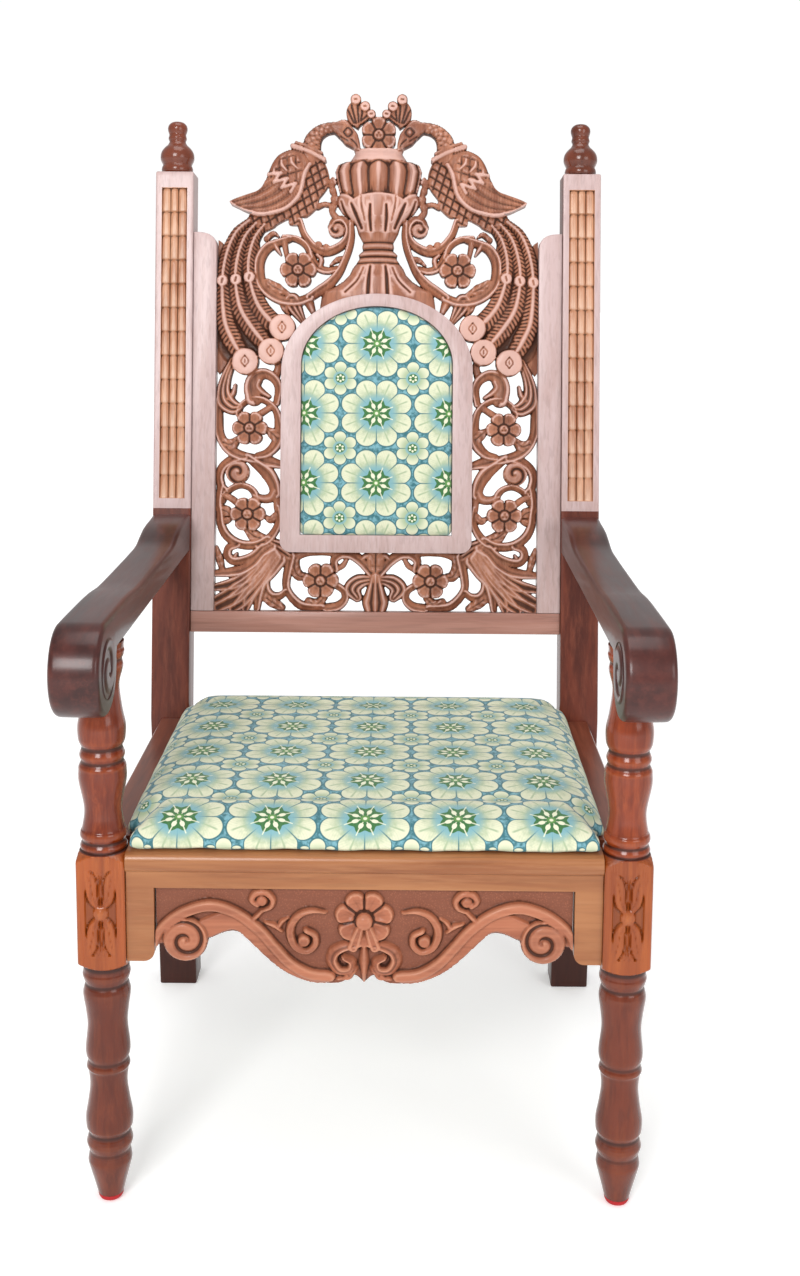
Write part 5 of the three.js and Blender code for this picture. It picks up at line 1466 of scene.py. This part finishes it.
# Upholstery
def swell(obj, cap, voxel, frames=20, pressure=4.0):
    """Let a closed form swell as a stuffed cushion, no point moving more than cap metres."""
    remesh = obj.modifiers.new("remesh", "REMESH")
    remesh.mode = "VOXEL"
    remesh.voxel_size = voxel
    depsgraph = bpy.context.evaluated_depsgraph_get()
    mesh = bpy.data.meshes.new_from_object(obj.evaluated_get(depsgraph))
    obj.modifiers.clear()
    obj.data = mesh
    start_at = np.empty(len(mesh.vertices) * 3, dtype=np.float32)
    mesh.vertices.foreach_get("co", start_at)
    cloth = obj.modifiers.new("cloth", "CLOTH")
    cloth.settings.use_pressure = True
    cloth.settings.uniform_pressure_force = pressure
    cloth.settings.effector_weights.gravity = 0
    cloth.settings.quality = 5
    for f in range(1, frames + 1):
        bpy.context.scene.frame_set(f)
    depsgraph = bpy.context.evaluated_depsgraph_get()
    swollen = bpy.data.meshes.new_from_object(obj.evaluated_get(depsgraph))
    end_at = np.empty(len(swollen.vertices) * 3, dtype=np.float32)
    swollen.vertices.foreach_get("co", end_at)
    obj.modifiers.clear()
    move = (end_at - start_at).reshape(-1, 3)
    size = np.linalg.norm(move, axis=1)
    move *= np.minimum(1, cap / np.maximum(size, 1e-9))[:, None]
    start_at = (start_at.reshape(-1, 3) + move).ravel()
    bpy.context.scene.frame_set(1)
    return start_at.reshape(-1, 3).astype(float)


def slab(D, step):
    """Grid points inside an outline, and the faces of a closed slab of them above a second layer."""
    keep = D < EDGE_SHARE * step
    a, b, c, d = corners(keep)
    full = (a >= 0) & (b >= 0) & (c >= 0) & (d >= 0)
    F = np.stack([a, b, c, d], -1)[full]
    n = int(keep.sum())
    E = np.vstack([F[:, [0, 1]], F[:, [1, 2]], F[:, [2, 3]], F[:, [3, 0]]])
    rim = E[~np.isin(E[:, 0] * n + E[:, 1], E[:, 1] * n + E[:, 0])]
    walls = np.stack([rim[:, 1], rim[:, 0], rim[:, 0] + n, rim[:, 1] + n], -1)
    F = np.vstack([F, walls, F[:, ::-1] + n])
    return keep, F


def away(distance, x, y, h=0.5):
    """Unit vector along which the distance from an outline grows fastest."""
    gx = (distance(x + h, y) - distance(x - h, y)) / (2 * h)
    gy = (distance(x, y + h) - distance(x, y - h)) / (2 * h)
    size = np.maximum(np.hypot(gx, gy), 1e-6)
    return gx / size, gy / size


def cloth_mesh(name, points, faces):
    """An object from points and faces, not dressed yet."""
    mesh = bpy.data.meshes.new(name)
    mesh.from_pydata([tuple(p) for p in points], [], faces)
    obj = bpy.data.objects.new(name, mesh)
    bpy.context.scene.collection.objects.link(obj)
    return obj


def finish_pad(obj, points, material, node, cloth):
    """Smooth a swollen pad, give it its cloth coordinates and hang it under the root in place of its imported
    part.
    """
    obj.data.vertices.foreach_set("co", points.astype(np.float32).ravel())
    obj.data.update()
    sub = obj.modifiers.new("sub", "SUBSURF")
    sub.levels = 1
    sub.render_levels = 1
    depsgraph = bpy.context.evaluated_depsgraph_get()
    mesh = bpy.data.meshes.new_from_object(obj.evaluated_get(depsgraph))
    obj.modifiers.clear()
    obj.data = mesh
    co = np.empty(len(mesh.vertices) * 3, dtype=np.float32)
    mesh.vertices.foreach_get("co", co)
    layer = mesh.attributes.new("cloth", "FLOAT_VECTOR", "POINT")
    layer.data.foreach_set("vector", cloth(co.reshape(-1, 3) / MM).astype(np.float32).ravel())
    mesh.materials.clear()
    mesh.materials.append(material)
    mesh.shade_smooth()
    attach(obj, "root")
    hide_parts(node)
    return obj


def seat_plan(x, y):
    """Signed distance to the seat's outline in the sizing frame, negative inside."""
    wide, narrow, front, rear, notch = 275.5, 261.0, 4.5, 486.5, 57.5
    body = np.maximum.reduce([np.abs(x) - wide, notch - y, y - rear])
    corner = 6.0  # radius of the rear corners
    cx, cy = np.abs(x) - (wide - corner), y - (rear - corner)
    body = np.where((cx > 0) & (cy > 0), np.hypot(cx, cy) - corner, body)
    tongue = np.maximum.reduce([np.abs(x) - narrow, front - y, y - 120])
    tail = np.maximum.reduce([np.abs(x) - 260.6, 400 - y, y - 522.6])
    return np.minimum(np.minimum(body, tongue), tail)


def seat_pad():
    """The upholstered seat."""
    step = 6.0
    xs = np.arange(-276, 276.1, step)
    ys = np.arange(4.5, 523.1, step)
    X, Y = np.meshgrid(xs, ys)
    D = seat_plan(X, Y)
    inside = np.maximum(0, -D)
    crown = 1 - np.clip(1 - inside / 150, 0, 1) ** 3.0
    side = 1 - np.clip(1 - inside / 16, 0, 1) ** 2.4
    under = 425.6  # just above the rails
    Z = under + 17 * side + 21 * crown
    X, Y = onto_outline(D, X, Y, step)
    keep, F = slab(D, step)
    top = np.stack([X[keep], Y[keep] - SHIFT_Y, Z[keep]], -1)
    bottom = top.copy()
    bottom[:, 2] = under
    obj = cloth_mesh("upholstered_seat", np.vstack([top, bottom]) * MM, F.tolist())
    points = swell(obj, 0.006, 0.005)
    P = points / MM
    middle = 260  # depth from which the pad is stretched to fill its outline
    x, y = P[:, 0] * 1.022, (P[:, 1] + SHIFT_Y - middle) * 1.012 + middle
    # The pad stays flat on the rails and clear of the blocks and posts
    P[:, 2] = np.clip(P[:, 2], 425.5, 466.5)
    over = seat_plan(x, y)
    for _ in range(2):
        gx, gy = away(seat_plan, x, y)
        push = np.maximum(0, seat_plan(x, y) + 0.3)
        x, y = x - gx * push, y - gy * push
    # Soft pulls where the cloth is drawn down over the edge
    along = np.where(np.abs(x) > 255, y, x)
    pull = np.clip(1 - np.abs(over + 10) / 16, 0, 1)
    P[:, 2] += pull * (0.7 * np.sin(along / 17.0) + 0.5 * np.sin(along / 7.3 + 1.0)) - 0.4 * pull
    P[:, 0], P[:, 1] = x, y - SHIFT_Y

    def cloth(C):
        yy = C[:, 1] + SHIFT_Y
        drop = np.maximum(0, 462 - C[:, 2]) * 0.55
        front = np.clip(1 - (yy - 5) / 40, 0, 1)
        sides = np.clip((np.abs(C[:, 0]) - 225) / 50, 0, 1)
        return np.stack([C[:, 0] + np.sign(C[:, 0]) * drop * sides, yy - drop * front, np.zeros(len(C))], -1)

    finish_pad(obj, P * MM, fabric("seat_cloth", *CLOTH_REPEAT, (52.0, 20.0)), "seat_pad", cloth)


def back_pad():
    """The upholstered panel inside the arch."""
    def distance(u, v):
        """Nearly the distance to the outline of the pad, negative inside."""
        half, foot, spring, top = 108.6, 263.4, 507.0, 591.6
        upper = (np.sqrt((u / half) ** 2 + ((v - spring) / (top - spring)) ** 2) - 1) * 95
        lower = np.maximum(np.abs(u) - half, foot - v)
        return np.where(v > spring, upper, lower)

    step = 5.0
    us = np.arange(-110, 110.1, step)
    vs = np.arange(262, 595, step)
    U, V = np.meshgrid(us, vs)
    D = distance(U, V)
    inside = np.maximum(0, -D)
    W = (-7.6 + 2.0 * (1 - np.clip(1 - inside / 14, 0, 1) ** 2.2)
         + 1.6 * (1 - np.clip(1 - inside / 95, 0, 1) ** 2))
    U, V = onto_outline(D, U, V, step)
    keep, F = slab(D, step)
    top = back_point(U[keep], V[keep], W[keep])
    bottom = back_point(U[keep], V[keep], np.full(int(keep.sum()), -33.0))
    obj = cloth_mesh("upholstered_back", np.vstack([top, bottom]), F.tolist())
    points = swell(obj, 0.003, 0.005, pressure=2.5)

    def to_back(C):
        dy, dz = C[:, 1] / MM - SEAT_Y, C[:, 2] / MM - SEAT_Z
        v = dy * math.sin(RECLINE) + dz * math.cos(RECLINE)
        w = -dy * math.cos(RECLINE) + dz * math.sin(RECLINE)
        return C[:, 0] / MM, v, w

    u, v, w = to_back(points)
    w = np.clip(w, -33.5, -3.2)
    for turn in range(4):  # first out against the frame, then back where it is past it
        gu, gv = away(distance, u, v)
        there = distance(u, v)
        push = -2.0 * np.clip((there + 18) / 14, 0, 1) if turn < 2 else np.maximum(0, there - 0.25)
        u, v = u - gu * push, v - gv * push

    def cloth(C):
        uu, vv, _ = to_back(C * MM)
        return np.stack([uu, vv, np.zeros(len(uu))], -1)

    finish_pad(obj, back_point(u, v, w), fabric("back_cloth", *CLOTH_REPEAT, (52.0, 12.0)),
               "back_pad", cloth)


seat_pad()
back_pad()


# Floor and light
def floor():
    """A white floor that fades into the background far from the chair."""
    mesh = bpy.data.meshes.new("floor")
    far = 30
    mesh.from_pydata([(-far, -far, 0), (far, -far, 0), (far, far, 0), (-far, far, 0)], [], [(0, 1, 2, 3)])
    obj = bpy.data.objects.new("floor", mesh)
    bpy.context.scene.collection.objects.link(obj)
    mat, tree, shader = start("floor")
    shader.inputs["Base Color"].default_value = (0.93, 0.93, 0.93, 1)
    shader.inputs["Roughness"].default_value = 0.9
    shader.inputs["Emission Color"].default_value = (1, 1, 1, 1)
    spot = tree.nodes.new("ShaderNodeTexCoord")
    reach = tree.nodes.new("ShaderNodeVectorMath")
    reach.operation = "LENGTH"
    tree.links.new(spot.outputs["Object"], reach.inputs[0])
    glow = Sum(tree, reach.outputs["Value"]).step(1.2, 4.0) * 0.3 + 0.24
    tree.links.new(glow.socket, shader.inputs["Emission Strength"])
    mesh.materials.append(mat)


def light(name, at, target, size, power):
    """A white rectangular lamp turned towards a point."""
    data = bpy.data.lights.new(name, "AREA")
    data.shape = "RECTANGLE"
    data.size, data.size_y = size
    data.energy = power
    obj = bpy.data.objects.new(name, data)
    bpy.context.scene.collection.objects.link(obj)
    obj.location = at
    obj.rotation_euler = (Vector(target) - Vector(at)).to_track_quat("-Z", "Y").to_euler()


floor()
light("key", (-1.0, -3.7, 2.4), (0, 0, 0.75), (1.5, 1.5), 116)
light("fill", (2.5, -3.0, 1.7), (0, 0, 0.7), (1.8, 1.8), 40)
light("top", (0, -0.2, 3.4), (0, 0, 0.5), (1.8, 1.8), 34)
world = bpy.data.worlds.new("world")
bpy.context.scene.world = world
world.use_nodes = True
sky = world.node_tree.nodes["Background"]
sky.inputs[0].default_value = (1, 1, 1, 1)
path = world.node_tree.nodes.new("ShaderNodeLightPath")
seen = Sum(world.node_tree, path.outputs["Is Camera Ray"]) * 0.4 + 0.62
world.node_tree.links.new(seen.socket, sky.inputs[1])


# Camera, solved from the photograph; lengths in pixels are those of its height
PICTURE_HEIGHT = 1276
FOCAL_PIXELS = 1483.29
SHIFT_PIXELS = (2.64, -174.42)
SENSOR = 36
CAMERA_AT = (0.0421445, -1.5575235 - SHIFT_Y * MM, 1.0747589)


def camera():
    """The photograph's camera."""
    pitch, yaw, roll = 0.136, 0.0056, 0.0068
    forward = Vector((-math.sin(yaw) * math.cos(pitch), math.cos(yaw) * math.cos(pitch), -math.sin(pitch)))
    right = Vector((math.cos(yaw), math.sin(yaw), 0))
    up = right.cross(forward)
    right, up = right * math.cos(roll) + up * math.sin(roll), up * math.cos(roll) - right * math.sin(roll)
    data = bpy.data.cameras.new("camera")
    data.lens = FOCAL_PIXELS * SENSOR / PICTURE_HEIGHT
    data.sensor_width = SENSOR
    data.sensor_fit = "AUTO"
    data.shift_x = SHIFT_PIXELS[0] / PICTURE_HEIGHT
    data.shift_y = SHIFT_PIXELS[1] / PICTURE_HEIGHT
    data.clip_end = 100
    obj = bpy.data.objects.new("camera", data)
    bpy.context.scene.collection.objects.link(obj)
    turn = Matrix((right, up, -forward)).transposed().to_4x4()
    obj.matrix_world = Matrix.Translation(CAMERA_AT) @ turn
    bpy.context.scene.camera = obj


camera()
bpy.context.scene.view_settings.view_transform = "Standard"
